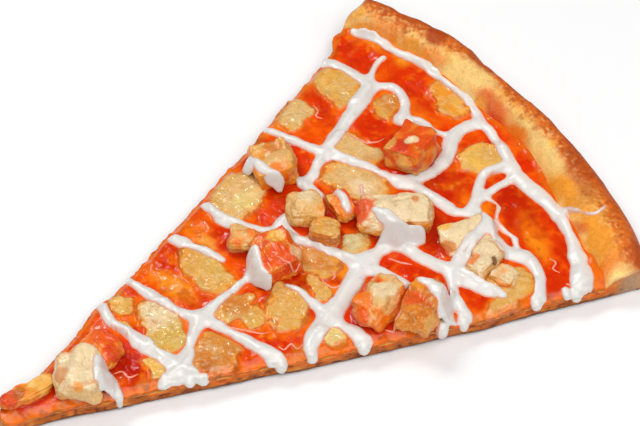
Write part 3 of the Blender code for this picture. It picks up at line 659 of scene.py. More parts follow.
def make_layer():
    rows, columns = LAYER_ROWS + 1, LAYER_COLUMNS + 1
    along, share = np.meshgrid(np.linspace(0, 1, rows), np.linspace(-1, 1, columns), indexing="ij")
    start = TIP_REACH + GAP
    reach = start + (rim_foot(share) + 1.0 - start) * along
    x, y = slice_place(share, reach)
    nearest = cheese_distance(x, y)
    cheese = ease((1.08 - nearest) / 0.18)
    to_cut = (1 - np.abs(share)) * reach * SLICE_ANGLE / 2
    to_rim = rim_foot(share) - reach
    shoulder = 0.4 * np.abs(share) ** 12 + 1.0 * np.exp(-((to_cut / 1.4) ** 2))
    ragged = 0.7 * rough_noise(reach, 40 * np.sign(share), 2.6, 93, 3) * np.exp(-to_cut / 1.5)
    x = x + np.sign(share) * ragged
    z = layer_height(x, y, nearest) + layer_relief(x, y, cheese) - shoulder
    z = z + 0.9 * np.exp(-np.maximum(to_rim, 0) / 1.3) * (0.4 + soft_noise(x, y, 4.0, 91))
    tint = browned_at_cuts(layer_colour(x, y, cheese, nearest), to_cut, x, y)
    tint = thin_at_rim(tint, to_rim, x, y).reshape(-1, 3)
    corners = [np.stack([x.ravel(), y.ravel(), z.ravel()], -1)]
    tints = [tint]
    cheeses = [cheese.ravel()]

    loop = boundary_loop(rows, columns)
    edge_x, edge_y, edge_z = (grid.ravel()[loop] for grid in (x, y, z))
    away = np.stack([edge_x, edge_y - LAYER_MIDDLE], -1)
    away = away / np.linalg.norm(away, axis=1)[:, None]
    floor = FLOOR_TOP + 0.1
    for ring in range(1, LAYER_RINGS + 1):
        down = ring / LAYER_RINGS
        height = edge_z + (floor - edge_z) * down
        ripple = 0.6 * rough_noise(edge_x + edge_y, height * 0.9, 2.4, 95, 3)
        ripple = ripple + 0.3 * math.sin(math.pi * down)
        corners.append(np.stack([edge_x + away[:, 0] * ripple, edge_y + away[:, 1] * ripple, height], -1))
        speck = rough_noise(edge_x + edge_y, height * 1.2, 1.6, 97, 3)
        tints.append(layer_side_colour(tint[loop], down, speck))
        cheeses.append(cheese.ravel()[loop] * (1 - down) + 0.5 * down)
    sides, last = skirt_quads(loop, rows * columns, LAYER_RINGS)
    place = from_middle(*np.concatenate(corners).T)
    faces = grid_quads(rows, columns).tolist() + sides.tolist() + [last.tolist()]
    mesh = mesh_from("sauce_cheese", place, faces)
    put_colour(mesh, np.concatenate(tints))
    put_number(mesh, np.concatenate(cheeses), "cheese")
    mesh.shade_smooth()
    mesh.polygons[len(faces) - 1].use_smooth = False
    outwards(mesh)
    return linked("sauce_cheese", mesh)


def outwards(mesh):
    """Turns every face of a closed mesh to point out."""
    bm = bmesh.new()
    bm.from_mesh(mesh)
    bmesh.ops.recalc_face_normals(bm, faces=bm.faces)
    if bm.calc_volume(signed=True) < 0:
        bmesh.ops.reverse_faces(bm, faces=bm.faces[:])
    bm.to_mesh(mesh)
    bm.free()


# ------------------------------------------------------------------ crust

RIM_DABS = (
    (-28, 177, 6, 2.2, 10, "crust brown", 0.8), (-47, 168, 4, 2.5, 20, "crust brown", 0.6),
    (-38, 169.5, 3.4, 2.2, 10, "crust brown", 0.9), (28, 169, 9, 4, -10, "crust brown", 0.5),
    (-61, 162.5, 3, 3, 0, "crust brown", 0.8), (-10, 168.4, 7, 1.6, 3, "red orange", 0.8),
    (-6, 166.8, 4, 1.3, 0, "red", 0.8), (3, 167, 6, 2, 0, "orange", 0.8),
    (16, 165.8, 9, 2.6, -6, "amber", 0.9), (26, 164.5, 8, 2.6, -10, "amber", 0.9),
    (45, 161.5, 9, 3, -17, "amber", 0.9), (54, 157, 3, 5, 0, "orange", 0.7),
    (38, 160.5, 3, 1.5, 0, "red orange", 0.6), (-34, 166.4, 5, 1.4, 12, "orange", 0.6),
    (-50, 161, 6, 1.6, 20, "orange", 0.6), (60, 158, 4, 5, 20, "crust pale", 0.9),
    (14, 168, 8, 2.4, -4, "crust pale", 0.8), (-20, 170, 9, 2.6, 6, "crust pale", 0.8),
)


def rim_relief(x, y):
    """Lumps, wrinkles and blisters of the baked rim."""
    relief = 0.42 * rough_noise(x, y, 5.0, 101, 2) + 0.20 * rough_noise(x, y, 1.6, 104, 2)
    relief = relief + 0.16 * np.abs(rough_noise(x + y, x - y, 2.4, 107, 2))
    blister = oval(x, y, -38, 169.5, 3.6, 2.8, 10)
    return relief + 0.8 * np.maximum(0, 1 - blister ** 2) * (0.7 + 0.3 * np.sin(5.0 * (x + y)))


def rim_colour(share, across, x, y):
    """Pale at the inner side, golden on the crest and brown-orange down the outer side, with a dark line at
    the outer edge that is partly burnt crust and partly painted shade.
    """
    near_x, near_y = wavering(x, y, 111, 4.0, 1.5)
    broad = rough_noise(x, y, 12.0, 115, 3)
    patchy = rough_noise(x, y, 4.5, 116, 3)
    fine = rough_noise(x, y, 1.2, 117, 3)
    grit = rough_noise(x, y, 0.8, 121, 2)
    baked = 0.9 * broad + 0.8 * patchy + 0.3 * fine
    paint = coats(
        plain("crust gold", x),
        ("crust pale", ease(1.5 - 2.8 * across + 0.9 * broad + 0.5 * patchy)),
        ("crust amber", ease(3.6 * across - 1.0 + baked)),
        ("crust brown", 0.8 * ease(2.8 * across - 1.6 + broad + patchy + 0.8 * fine)),
        # A dark line at the outer edge: partly burnt crust, partly painted shade at the rim's outer foot
        ("crust dark", 0.85 * ease(12.0 * across - 11.0 + 0.6 * fine)),
        ("cream", 0.5 * ease(2.6 * fine - 0.5) * ease(1.5 - 2.2 * across)),
        ("crust brown", 0.6 * ease(-2.8 * fine - 0.5) * ease(2.4 * across - 0.4)),
        ("crust brown", 0.65 * ease(-2.6 * grit - 0.35) * ease(2.2 * across - 0.15 + patchy)),
        ("crust pale", 0.5 * ease(2.6 * grit - 0.35) * ease(2.2 - 2.8 * across)),
        ("amber", 0.8 * ease((0.15 + 0.25 * patchy - across) / 0.12)),
    )
    paint = dab(paint, near_x, near_y, RIM_DABS, 0.5)
    cut = ease((np.abs(share) - 0.985) / 0.015)
    return coats(paint, ("crumb grey", 0.6 * cut * ease(across * 4)))


def floor_side(side):
    """The floor's edge along a cut, from the tip to the rim's foot."""
    reach = np.linspace(TIP_REACH, float(rim_foot(np.array(side))), FLOOR_ROWS + 1)[:-1]
    x, y = slice_place(np.full_like(reach, side), reach)
    return np.stack([x, y, np.full_like(reach, FLOOR_TOP)], -1)


def floor_tip():
    """The floor's edge round the tip, between the two cuts."""
    share = np.linspace(-1, 1, TIP_CORNERS + 2)[1:-1]
    x, y = slice_place(share, np.full_like(share, TIP_REACH))
    return np.stack([x, y, np.full_like(share, FLOOR_TOP)], -1)


def make_crust():
    rows, columns = RIM_ROWS + 1, RIM_COLUMNS + 1
    across, share = np.meshgrid(np.linspace(0, 1, rows), np.linspace(-1, 1, columns), indexing="ij")
    reach = rim_foot(share) + (rim_edge(share) - rim_foot(share)) * across
    x, y = slice_place(share, reach)
    swell = lumps(share * reach, reach, 0 * x, 9.0, 4.0)
    fade = np.sin(np.pi * np.clip(across, 0.02, 0.98)) ** 0.5
    height = rim_top(share, across) + 0.5 * swell * np.sin(np.pi * across) + rim_relief(x, y) * fade
    rim = np.stack([x, y, height], -1).reshape(-1, 3)
    tints = [rim_colour(share, across, x, y).reshape(-1, 3)]

    # The top outline: round the tip, up the right cut, over the rim's outside and down the left cut
    left, tip, right = floor_side(-1.0), floor_tip(), floor_side(1.0)
    top = np.concatenate([rim, left, tip, right])
    starts = np.cumsum([len(rim), len(left), len(tip)])
    left_loop, tip_loop, right_loop = (
        start + np.arange(len(side)) for start, side in zip(starts, (left, tip, right))
    )
    foot = np.arange(columns)
    floor = np.concatenate([left_loop[::-1], tip_loop, right_loop, foot[::-1]])
    rim_right = np.arange(rows) * columns + columns - 1
    rim_outer = (rows - 1) * columns + np.arange(columns - 2, -1, -1)
    rim_left = np.arange(rows - 2, -1, -1) * columns
    loop = np.concatenate([tip_loop, right_loop, rim_right, rim_outer, rim_left, left_loop[::-1]])
    tints.append(np.broadcast_to(colour("tan"), (len(top) - len(rim), 3)))

    # The sides, ring by ring down to the surface that the slice lies on
    edge = top[loop]
    around = np.roll(edge[:, :2], -3, axis=0) - np.roll(edge[:, :2], 3, axis=0)
    outward = np.stack([around[:, 1], -around[:, 0]], -1)
    outward = outward / np.linalg.norm(outward, axis=1)[:, None]
    distance = np.linalg.norm(edge[:, :2], axis=1)
    under_rim = np.clip((distance - RIM_FOOT) / (PIZZA_RADIUS - RIM_FOOT), 0, 1)
    run = np.cumsum(np.linalg.norm(np.diff(edge[:, :2], axis=0, prepend=edge[:1, :2]), axis=1))
    at_cut = np.ones(len(loop))
    outer_start = len(tip_loop) + len(right_loop) + len(rim_right)
    at_cut[outer_start:outer_start + len(rim_outer)] = 0.0
    rings = []
    for ring in range(1, CRUST_RINGS + 1):
        down = ring / CRUST_RINGS
        z = edge[:, 2] * (1 - down)
        tuck = 1 - 3.0 * under_rim * np.clip(1 - z / FLOOR_TOP, 0, 1) ** 2 / distance
        pores = rough_noise(run, z * 1.3, 1.5, 121, 3)
        torn = rough_noise(run, z * 0.8, 5.0, 125, 3)
        rough = (0.36 * pores + 0.6 * torn + 0.15) * np.where(at_cut > 0, 1.0, 0.4)
        shift = rough * math.sin(math.pi * down ** 0.7) - 0.5 * ease(1 - z / 1.0)
        flat = edge[:, :2] * tuck[:, None] + outward * shift[:, None]
        rings.append(np.concatenate([flat, z[:, None]], -1))
        tints.append(side_colour(z, edge[:, 2], at_cut, under_rim, pores, torn))
    sides, last = skirt_quads(loop, len(top), CRUST_RINGS)
    place = from_middle(*np.concatenate([top, *rings]).T)
    faces = grid_quads(rows, columns).tolist() + sides.tolist() + [floor.tolist(), last.tolist()]
    mesh = mesh_from("crust_dough", place, faces)
    put_colour(mesh, np.concatenate(tints))
    mesh.shade_smooth()
    for flat_face in (len(faces) - 1, len(faces) - 2):
        mesh.polygons[flat_face].use_smooth = False
    outwards(mesh)
    return linked("crust_dough", mesh)


def side_colour(z, top, at_cut, under_rim, pores, torn):
    """Colour of the dough's sides: crumb where it is cut, baked brown round the outside, with painted shade
    in the pits of the crumb and a dark bottom that is partly burnt underside and partly painted shade.
    """
    fresh = coats(
        plain("toast", z),
        # Painted shade and light in the torn crumb: brown and dark brown in its pits, tan on its bumps, from
        # the noise that shapes its relief
        ("brown", 0.7 * ease(0.5 - 1.4 * torn)),
        ("tan", 0.7 * ease(1.4 * torn + 1.2 * pores - 0.3)),
        ("red orange", 0.6 * ease((z - 2.8 + 2.4 * torn) / 1.4) * ease(1 - 3 * under_rim)),
        ("brown", 0.9 * ease(-2.0 * pores - 0.05)),
        ("dark brown", 0.8 * ease(-3.0 * pores - 1.5 * torn - 0.7)),
        ("crumb grey", 0.8 * ease(under_rim * 2 - 0.2)),
        ("crust amber", 0.8 * ease((z - top + 1.2) / 1.2) * ease(under_rim * 3)),
    )
    baked = coats(plain("crust brown", z), ("crust amber", ease(0.4 + 1.2 * torn)))
    # Dark brown low down: partly burnt underside, partly painted shade where the sides meet the floor
    return coats(mix(baked, fresh, at_cut), ("dark brown", 0.9 * ease((1.9 + 1.4 * torn - z) / 1.2)))


# ------------------------------------------------------------------ chicken

# Each chunk: its colour on top, on its sides and in its creases (painted shade), how stringy it is, and its
# share of glaze
MEAT = {
    "chicken_cube": ("red orange", "tan", "red", 0.4, 0.7),
    "chicken_left_edge": ("tan", "amber", "brown", 0.5, 0.45),
    "chicken_lump_a": ("light tan", "tan", "brown", 0.5, 0.2),
    "chicken_lump_b": ("tan", "toast", "brown", 0.6, 0.2),
    "chicken_lump_c": ("orange", "tan", "red", 0.6, 0.6),
    "chicken_large": ("cream", "amber", "brown", 0.6, 0.08),
    "chicken_flat": ("cream", "tan", "straw", 0.2, 0.0),
    "chicken_crumb_a": ("cream", "tan", "brown", 0.5, 0.08),
    "chicken_crumb_b": ("cream", "tan", "amber", 0.6, 0.3),
    "chicken_pale": ("light tan", "orange", "red", 0.5, 0.4),
    "chicken_shredded": ("toast", "amber", "red", 1.4, 0.22),
    "chicken_grilled": ("red orange", "orange", "red", 1.4, 0.8),
    "chicken_side": ("light tan", "tan", "rose", 0.6, 0.35),
    "chicken_tip_top": ("orange", "amber", "red", 0.7, 0.75),
    "chicken_tip_front": ("cream", "light tan", "toast", 0.4, 0.05),
    "chicken_tip_strip": ("amber", "toast", "red", 1.2, 0.5),
}

# Dabs on the chunks: x, y, z, reach, colour, strength
MEAT_DABS = {
    "chicken_cube": (
        (-9.9, 135.9, 13.9, 2.8, "red", 0.9), (-7.2, 141.5, 14.5, 3.0, "red orange", 0.9),
        (-9.6, 138.6, 14.0, 1.3, "cream", 0.95), (-9.2, 140.2, 14.0, 1.2, "cream", 0.9),
        (-13.2, 134.0, 13.6, 2.4, "tan", 0.8), (-4.8, 133.5, 11.0, 3.0, "tan", 0.7),
    ),
    "chicken_left_edge": (
        (-26.5, 106.0, 14.0, 3.4, "light tan", 0.8), (-22.6, 104.0, 12.0, 2.6, "orange", 0.8),
        (-30, 107, 13, 2.6, "toast", 0.8),
    ),
    "chicken_lump_a": (
        (-10.9, 105.0, 12.0, 2.4, "cream", 0.8), (-6.2, 102.6, 11.0, 2.2, "tan", 0.8),
    ),
    "chicken_lump_c": (
        (-5.5, 115.2, 10.5, 2.6, "red orange", 0.9), (-8.3, 110.4, 9.9, 2.0, "tan", 0.9),
    ),
    "chicken_large": (
        (1.8, 114.8, 12.0, 4.0, "red orange", 0.9), (0.2, 113.0, 10.5, 2.6, "red", 0.8),
        (11.2, 127.0, 13.0, 3.6, "cream", 0.8), (12.4, 122.0, 11.0, 1.6, "brown", 0.8),
        (8.0, 127.6, 13.2, 1.3, "toast", 0.8), (13.4, 125.6, 10.5, 2.0, "toast", 0.6),
    ),
    "chicken_flat": (
        (17.0, 131.0, 8.9, 1.8, "yellow", 0.9), (22.9, 127.8, 8.4, 2.0, "toast", 0.8),
    ),
    "chicken_crumb_a": (
        (31.4, 130.2, 9.0, 2.0, "orange", 0.8), (34.2, 134.0, 9.0, 1.3, "dark brown", 0.8),
    ),
    "chicken_pale": (
        (27.8, 102.6, 13.4, 3.4, "cream", 0.9), (26.6, 96.0, 12.4, 3.2, "orange", 0.9),
        (33.9, 97.5, 10.0, 2.6, "orange", 0.7), (29.6, 93.6, 10.4, 2.6, "red orange", 0.8),
        (22.8, 98.6, 11.0, 2.2, "red", 0.8), (31.4, 101.0, 12.0, 2.4, "light tan", 0.8),
    ),
    "chicken_shredded": (
        (34.6, 106.6, 13.0, 3.0, "red orange", 0.8), (43.1, 106.6, 12.0, 2.4, "tan", 0.8),
        (31.4, 111.6, 13.0, 2.4, "amber", 0.8),
    ),
    "chicken_grilled": (
        (2.0, 87.0, 13.2, 3.0, "red orange", 0.85), (-3.4, 89.9, 13.6, 2.4, "yellow", 0.8),
        (3.2, 91.8, 13.0, 2.2, "cream", 0.6), (6.2, 87.7, 11.6, 2.2, "red", 0.6),
    ),
    "chicken_side": (
        (-9.8, 86.6, 11.0, 2.2, "orange", 0.8), (-12.7, 80.6, 9.0, 2.2, "rose", 0.7),
    ),
    "chicken_tip_top": (
        (-4.4, 34.4, 11.0, 2.6, "red orange", 0.8), (1.8, 34.0, 11.2, 2.4, "red", 0.7),
    ),
    "chicken_tip_front": (
        (-3.6, 25.6, 13.0, 2.0, "orange", 0.7), (7.3, 20.4, 13.4, 1.6, "amber", 0.8),
        (1.4, 19.4, 12.6, 2.4, "toast", 0.6),
    ),
    "chicken_tip_strip": (
        (-3.4, 5.0, 9.0, 3.0, "red", 0.8), (-2.6, 8.4, 8.8, 1.8, "brown", 0.7),
        (-2.2, 14.6, 9.2, 3.0, "yellow", 0.7),
    ),
}


def chunk_surface(row, seed):
    """Corners of a chunk before and after its turn, its faces, and how near each corner is to an edge."""
    _, _, _, length, width, height, turn, tilt, lean, roundness = row
    bm = bmesh.new()
    bmesh.ops.create_cube(bm, size=2.0)
    bmesh.ops.subdivide_edges(bm, edges=bm.edges[:], cuts=CHUNK_CELLS - 1, use_grid_fill=True)
    cube = np.array([corner.co for corner in bm.verts])
    faces = [[corner.index for corner in face.verts] for face in bm.faces]
    bm.free()
    ball = 1.25 * cube / np.linalg.norm(cube, axis=1)[:, None]
    rounded = cube * (1 - roundness) + ball * roundness
    uneven = lumps(*(0.8 * cube + np.array([seed * 5.3, seed * 1.7, seed])).T, 1.0, 0)
    swell = 1 + (0.1 + 0.2 * roundness) * uneven
    rotation = np.array(
        Matrix.Rotation(math.radians(turn), 3, "Z")
        @ Matrix.Rotation(math.radians(tilt), 3, "X")
        @ Matrix.Rotation(math.radians(lean), 3, "Y")
    )
    local = rounded * np.array([length, width, height]) / 2 * swell[:, None]
    edge = np.sort(np.abs(cube), axis=1)[:, 1]
    return local, local @ rotation.T, faces, edge


def meat_colour(number, name, local, place, up, edge, noises):
    """Meat that is browned at its edges, glazed in patches, and red with sauce at its foot, with painted
    shade in its creases and at its foot and a painted highlight on its ridges.
    """
    strings, coarse, torn, fine = noises
    top_name, side_name, crease_shade_name, stringy, glazed = MEAT[name]
    tone = rough_noise(place[:, 0] + place[:, 2], place[:, 1] - place[:, 2], 2.6, 131 + number, 3)
    # Painted shade: the creases are where the relief sinks in, between strings, in tears and in hollows
    string_crease_shade = ease((0.10 - np.abs(strings)) / 0.08) * ease(1.5 * stringy - 0.4)
    crease_shade = np.maximum(0.6 * ease((0.06 - np.abs(torn)) / 0.06), string_crease_shade) * ease(0.7 - 1.6 * coarse)
    browned = ease((edge - 0.80) / 0.16) * ease(0.45 + 1.6 * tone) * ease((up + 0.6) / 0.5)
    glaze = lumps(*local.T, 3.0, number * 1.3 + 0.9) + 0.35 * tone
    coated = ease(5.0 * glazed - 0.3)
    paint = coats(
        plain(side_name, up),
        (top_name, ease((up - 0.25 + 0.35 * tone) / 0.5)),
        (crease_shade_name, 0.65 * crease_shade),
        ("dark brown", 0.35 * crease_shade * ease(-3.0 * coarse - 0.2)),
        ("toast", 0.6 * browned),
        # Painted highlight: cream on the raised ridges of the relief
        ("cream", 0.35 * ease(2.4 * fine + 1.4 * (np.abs(torn) - 0.2) - 0.2)),
        ("amber", 0.7 * coated * ease(1.6 * glaze + 2.0 * glazed - 0.45)),
        ("orange", 0.9 * coated * ease(1.4 * glaze + 2.0 * glazed - 0.8)),
        ("red orange", 0.95 * coated * ease(1.6 * glaze + 2.0 * glazed - 1.1)),
    )
    for dab_x, dab_y, dab_z, spread, dab_name, strength in MEAT_DABS.get(name, ()):
        away = np.linalg.norm(place - np.array([dab_x, dab_y, dab_z]), axis=1) / spread + 0.35 * tone
        paint = coats(paint, (dab_name, strength * ease((1.2 - away) / 0.35)))
    return coats(
        paint,
        ("red", 0.8 * ease((LAYER_TOP + 1.5 + 0.9 * tone - place[:, 2]) / 1.4)),
        # Painted shade: dark brown round the chunk's foot, where it meets the sauce
        ("dark brown", 0.6 * ease((LAYER_TOP + 0.5 - place[:, 2]) / 0.5)),
    )


def make_chunk(number, row):
    name, x, y, *_, roundness = row
    local, turned, faces, edge = chunk_surface(row, number + 1)
    outward = turned / np.linalg.norm(turned, axis=1)[:, None]
    stringy = MEAT[name][3]
    strings = lumps(local[:, 0] * 0.22, local[:, 1] * 1.2, local[:, 2] * 1.2, 1.0, number * 3.1)
    coarse = lumps(*local.T, 3.8, number * 1.7 + 0.4)
    torn = lumps(*local.T, 1.9, number * 2.9 + 0.2)
    fine = lumps(*local.T, 0.8, number * 2.3 + 0.7)
    push = 0.55 * stringy * (np.abs(strings) - 0.2) + (0.4 + 1.5 * roundness) * coarse
    push = push + (0.15 + 0.55 * roundness) * (np.minimum(np.abs(torn), 0.35) - 0.2) + 0.12 * fine
    place = turned + outward * push[:, None] + np.array([x, y, CHICKEN_BED - turned[:, 2].min()])
    mesh = mesh_from(name + "_meat", from_middle(*place.T), faces)
    outwards(mesh)
    mesh.shade_smooth()
    facing = np.zeros(len(mesh.vertices) * 3, np.float32)
    mesh.vertex_normals.foreach_get("vector", facing)
    up = facing.reshape(-1, 3)[:, 2]
    put_colour(mesh, meat_colour(number, name, local, place, up, edge, (strings, coarse, torn, fine)))
    return linked(name + "_meat", mesh)


# ------------------------------------------------------------------ node trees


def tree_input(tree, name, kind, value=None):
    socket = tree.interface.new_socket(name=name, in_out="INPUT", socket_type=kind)
    if value is not None:
        socket.default_value = value
    return socket


def add_node(tree, kind, **settings):
    node = tree.nodes.new(kind)
    for key, value in settings.items():
        setattr(node, key, value)
    return node


def calculate(tree, operation, *terms):
    """A maths node; each term is a number or another node's output."""
    node = add_node(tree, "ShaderNodeMath", operation=operation)
    for index, term in enumerate(terms):
        if isinstance(term, (int, float)):
            node.inputs[index].default_value = term
        else:
            tree.links.new(term, node.inputs[index])
    return node.outputs[0]


def plain_mesh(name, shape, tree, values):
    """Runs a tree on a shape with values for its named inputs, and returns a plain mesh object."""
    modifier = shape.modifiers.new(tree.name, "NODES")
    modifier.node_group = tree
    for item in tree.interface.items_tree:
        if item.item_type == "SOCKET" and item.in_out == "INPUT" and item.name in values:
            modifier[item.identifier] = values[item.name]
    bpy.context.view_layer.update()
    depsgraph = bpy.context.evaluated_depsgraph_get()
    mesh = bpy.data.meshes.new_from_object(shape.evaluated_get(depsgraph))
    mesh.name = name
    shape.modifiers.remove(modifier)
    return linked(name, mesh)


def drip_tree():
    """Thickens lines into drips of uneven width that hang down the cut side."""
    tree = bpy.data.node_groups.new("ranch drips", "GeometryNodeTree")
    tree_input(tree, "Lines", "NodeSocketGeometry")
    tree_input(tree, "Step", "NodeSocketFloat", BEAD_STEP * MM)
    tree_input(tree, "Wobble", "NodeSocketFloat", 0.16)
    tree_input(tree, "Wobble Size", "NodeSocketFloat", 2.4 * MM)
    tree_input(tree, "Finish", "NodeSocketMaterial")
    tree.interface.new_socket(name="Ranch", in_out="OUTPUT", socket_type="NodeSocketGeometry")
    given = add_node(tree, "NodeGroupInput")
    result = add_node(tree, "NodeGroupOutput")
    link = tree.links.new

    resample = add_node(tree, "GeometryNodeResampleCurve", mode="LENGTH")
    link(given.outputs["Lines"], resample.inputs["Curve"])
    link(given.outputs["Step"], resample.inputs["Length"])
    slow = add_node(tree, "ShaderNodeTexNoise")
    link(calculate(tree, "DIVIDE", 1.0, given.outputs["Wobble Size"]), slow.inputs["Scale"])
    slow.inputs["Detail"].default_value = 2.0
    centred = calculate(tree, "MULTIPLY", calculate(tree, "SUBTRACT", slow.outputs[0], 0.5), 2.0)
    swing = calculate(tree, "MULTIPLY", centred, given.outputs["Wobble"])
    radius = add_node(tree, "GeometryNodeInputRadius")
    wide = calculate(tree, "MULTIPLY", radius.outputs[0], calculate(tree, "ADD", swing, 1.0))
    vary = add_node(tree, "GeometryNodeSetCurveRadius")
    link(resample.outputs[0], vary.inputs["Curve"])
    link(wide, vary.inputs["Radius"])

    ring = add_node(tree, "GeometryNodeCurvePrimitiveCircle")
    ring.inputs["Resolution"].default_value = 16
    ring.inputs["Radius"].default_value = 1.0
    bead = add_node(tree, "GeometryNodeCurveToMesh")
    link(vary.outputs[0], bead.inputs["Curve"])
    link(ring.outputs[0], bead.inputs["Profile Curve"])
    link(add_node(tree, "GeometryNodeInputRadius").outputs[0], bead.inputs["Scale"])
    bead.inputs["Fill Caps"].default_value = True

    real = add_node(tree, "GeometryNodeRealizeInstances")
    link(bead.outputs[0], real.inputs[0])
    finish = add_node(tree, "GeometryNodeSetMaterial")
    link(real.outputs[0], finish.inputs["Geometry"])
    link(given.outputs["Finish"], finish.inputs["Material"])
    link(finish.outputs[0], result.inputs[0])
    return tree


def scatter_tree():
    """Puts copies of a small shape on a surface, lying along it and turned at random."""
    tree = bpy.data.node_groups.new("scattered bits", "GeometryNodeTree")
    tree_input(tree, "Surface", "NodeSocketGeometry")
    tree_input(tree, "Bit", "NodeSocketObject")
    tree_input(tree, "Density", "NodeSocketFloat", 10000.0)
    tree_input(tree, "Smallest", "NodeSocketFloat", 0.5)
    tree_input(tree, "Largest", "NodeSocketFloat", 1.0)
    tree_input(tree, "Seed", "NodeSocketInt", 1)
    tree_input(tree, "Where", "NodeSocketString", "")
    tree_input(tree, "Finish", "NodeSocketMaterial")
    tree.interface.new_socket(name="Bits", in_out="OUTPUT", socket_type="NodeSocketGeometry")
    given = add_node(tree, "NodeGroupInput")
    result = add_node(tree, "NodeGroupOutput")
    link = tree.links.new
    mask = add_node(tree, "GeometryNodeInputNamedAttribute", data_type="FLOAT")
    link(given.outputs["Where"], mask.inputs["Name"])
    density = calculate(tree, "MULTIPLY", given.outputs["Density"], mask.outputs["Attribute"])
    spread = add_node(tree, "GeometryNodeDistributePointsOnFaces", distribute_method="RANDOM")
    link(given.outputs["Surface"], spread.inputs["Mesh"])
    link(density, spread.inputs["Density"])
    link(given.outputs["Seed"], spread.inputs["Seed"])
    bit = add_node(tree, "GeometryNodeObjectInfo", transform_space="ORIGINAL")
    link(given.outputs["Bit"], bit.inputs["Object"])
    spin = add_node(tree, "FunctionNodeRandomValue", data_type="FLOAT_VECTOR")
    spin.inputs["Min"].default_value = (-0.5, -0.5, -3.14)
    spin.inputs["Max"].default_value = (0.5, 0.5, 3.14)
    link(given.outputs["Seed"], spin.inputs["Seed"])
    turn = add_node(tree, "FunctionNodeRotateRotation", rotation_space="LOCAL")
    link(spread.outputs["Rotation"], turn.inputs["Rotation"])
    link(spin.outputs[0], turn.inputs["Rotate By"])
    size = add_node(tree, "FunctionNodeRandomValue", data_type="FLOAT")
    smallest, largest = [socket for socket in size.inputs if socket.enabled][:2]
    link(given.outputs["Smallest"], smallest)
    link(given.outputs["Largest"], largest)
    link(given.outputs["Seed"], size.inputs["Seed"])
    place = add_node(tree, "GeometryNodeInstanceOnPoints")
    link(spread.outputs["Points"], place.inputs["Points"])
    link(bit.outputs["Geometry"], place.inputs["Instance"])
    link(turn.outputs[0], place.inputs["Rotation"])
    link(next(socket for socket in size.outputs if socket.enabled), place.inputs["Scale"])
    real = add_node(tree, "GeometryNodeRealizeInstances")
    link(place.outputs[0], real.inputs[0])
    finish = add_node(tree, "GeometryNodeSetMaterial")
    link(real.outputs[0], finish.inputs["Geometry"])
    link(given.outputs["Finish"], finish.inputs["Material"])
    link(finish.outputs[0], result.inputs[0])
    return tree


# ------------------------------------------------------------------ ranch

# Drips down the right cut side: distance of the place from the pizza's middle, width, lowest height
RANCH_DRIPS = (
    (157.0, 5.2, 2.6), (154.2, 3.0, 4.0), (145.6, 4.0, 3.0), (125.0, 3.6, 2.4), (119.0, 4.4, 1.6),
    (97.4, 4.8, 2.4), (83.4, 4.4, 4.8), (75.0, 4.6, 1.8), (72.6, 3.8, 4.4), (54.2, 4.6, 4.2),
    (50.6, 3.6, 3.6), (44.0, 2.6, 4.6), (31.8, 2.8, 1.2),
)

POUR_CELL = 0.34
POUR_EDGE = -0.5
POUR_WEB = 0.5
POUR_OUTSIDE = -1.6
POUR_SHIFT = (-0.5, 0.4)
POUR_FALL = 1.7
POUR_FALL_CELLS = 9

# Chunks that the pour on the sauce runs over, beside those with ranch of their own
POURED_OVER = ("chicken_flat", "chicken_crumb_a", "chicken_crumb_b")


def smooth_run(knots, step):
    """Places and widths about a step apart on a smooth curve through the given ones."""
    knots = np.array(knots, float)
    knots = np.concatenate([[2 * knots[0] - knots[1]], knots, [2 * knots[-1] - knots[-2]]])
    run = [knots[1:2]]
    for before, start, end, after in zip(knots, knots[1:], knots[2:], knots[3:]):
        count = max(1, round(float(np.linalg.norm((end - start)[:2])) / step))
        t = (np.arange(1, count + 1) / count)[:, None]
        run.append(0.5 * (
            2 * start
            + (end - before) * t
            + (2 * before - 5 * start + 4 * end - after) * t ** 2
            + (3 * start - before - 3 * end + after) * t ** 3
        ))
    return np.concatenate(run)


def pour_reach(x, y):
    """How far inside the nearest ranch a place lies, in millimetres; where strokes meet they web."""
    step = x[1, 0] - x[0, 0]
    union = np.full_like(x, math.exp(POUR_OUTSIDE / POUR_WEB))
    low_strokes = [np.array(points) + (*POUR_SHIFT, 0.0) for points in (*RANCH_ON_SAUCE, *RANCH_THREADS)]
    strokes = [*low_strokes, *(points for _, points in RANCH_ON_CHICKEN)]
    for number, points in enumerate(strokes):
        inside = np.full_like(x, POUR_OUTSIDE)
        run = smooth_run(points, 0.5)
        swing = 1 + 0.16 * soft_noise(run[:, 0], run[:, 1], 2.8, 200 + number)
        for place_x, place_y, width in np.column_stack([run[:, :2], run[:, 2] * swing]).tolist():
            half = width / 2 + 0.15
            near = half - POUR_OUTSIDE
            left, right = int((place_x - near - x[0, 0]) / step), int((place_x + near - x[0, 0]) / step) + 2
            low, high = int((place_y - near - y[0, 0]) / step), int((place_y + near - y[0, 0]) / step) + 2
            window = (slice(max(left, 0), max(right, 0)), slice(max(low, 0), max(high, 0)))
            away = np.hypot(x[window] - place_x, y[window] - place_y)
            inside[window] = np.maximum(inside[window], half - away)
        union += np.exp(inside / POUR_WEB) - math.exp(POUR_OUTSIDE / POUR_WEB)
    return POUR_WEB * np.log(union) + 0.22 * soft_noise(x, y, 1.8, 141) + 0.10 * soft_noise(x, y, 0.9, 142)


def blurred(grid, times):
    """A grid of values softened by its neighbours."""
    for _ in range(times):
        padded = np.pad(grid, 1, mode="edge")
        grid = (padded[:-2, 1:-1] + padded[2:, 1:-1] + padded[1:-1, :-2] + padded[1:-1, 2:] + 4 * grid) / 8
    return grid


NEARBY = ((1, 0), (-1, 0), (0, 1), (0, -1), (2, 0), (-2, 0), (0, 2), (0, -2))


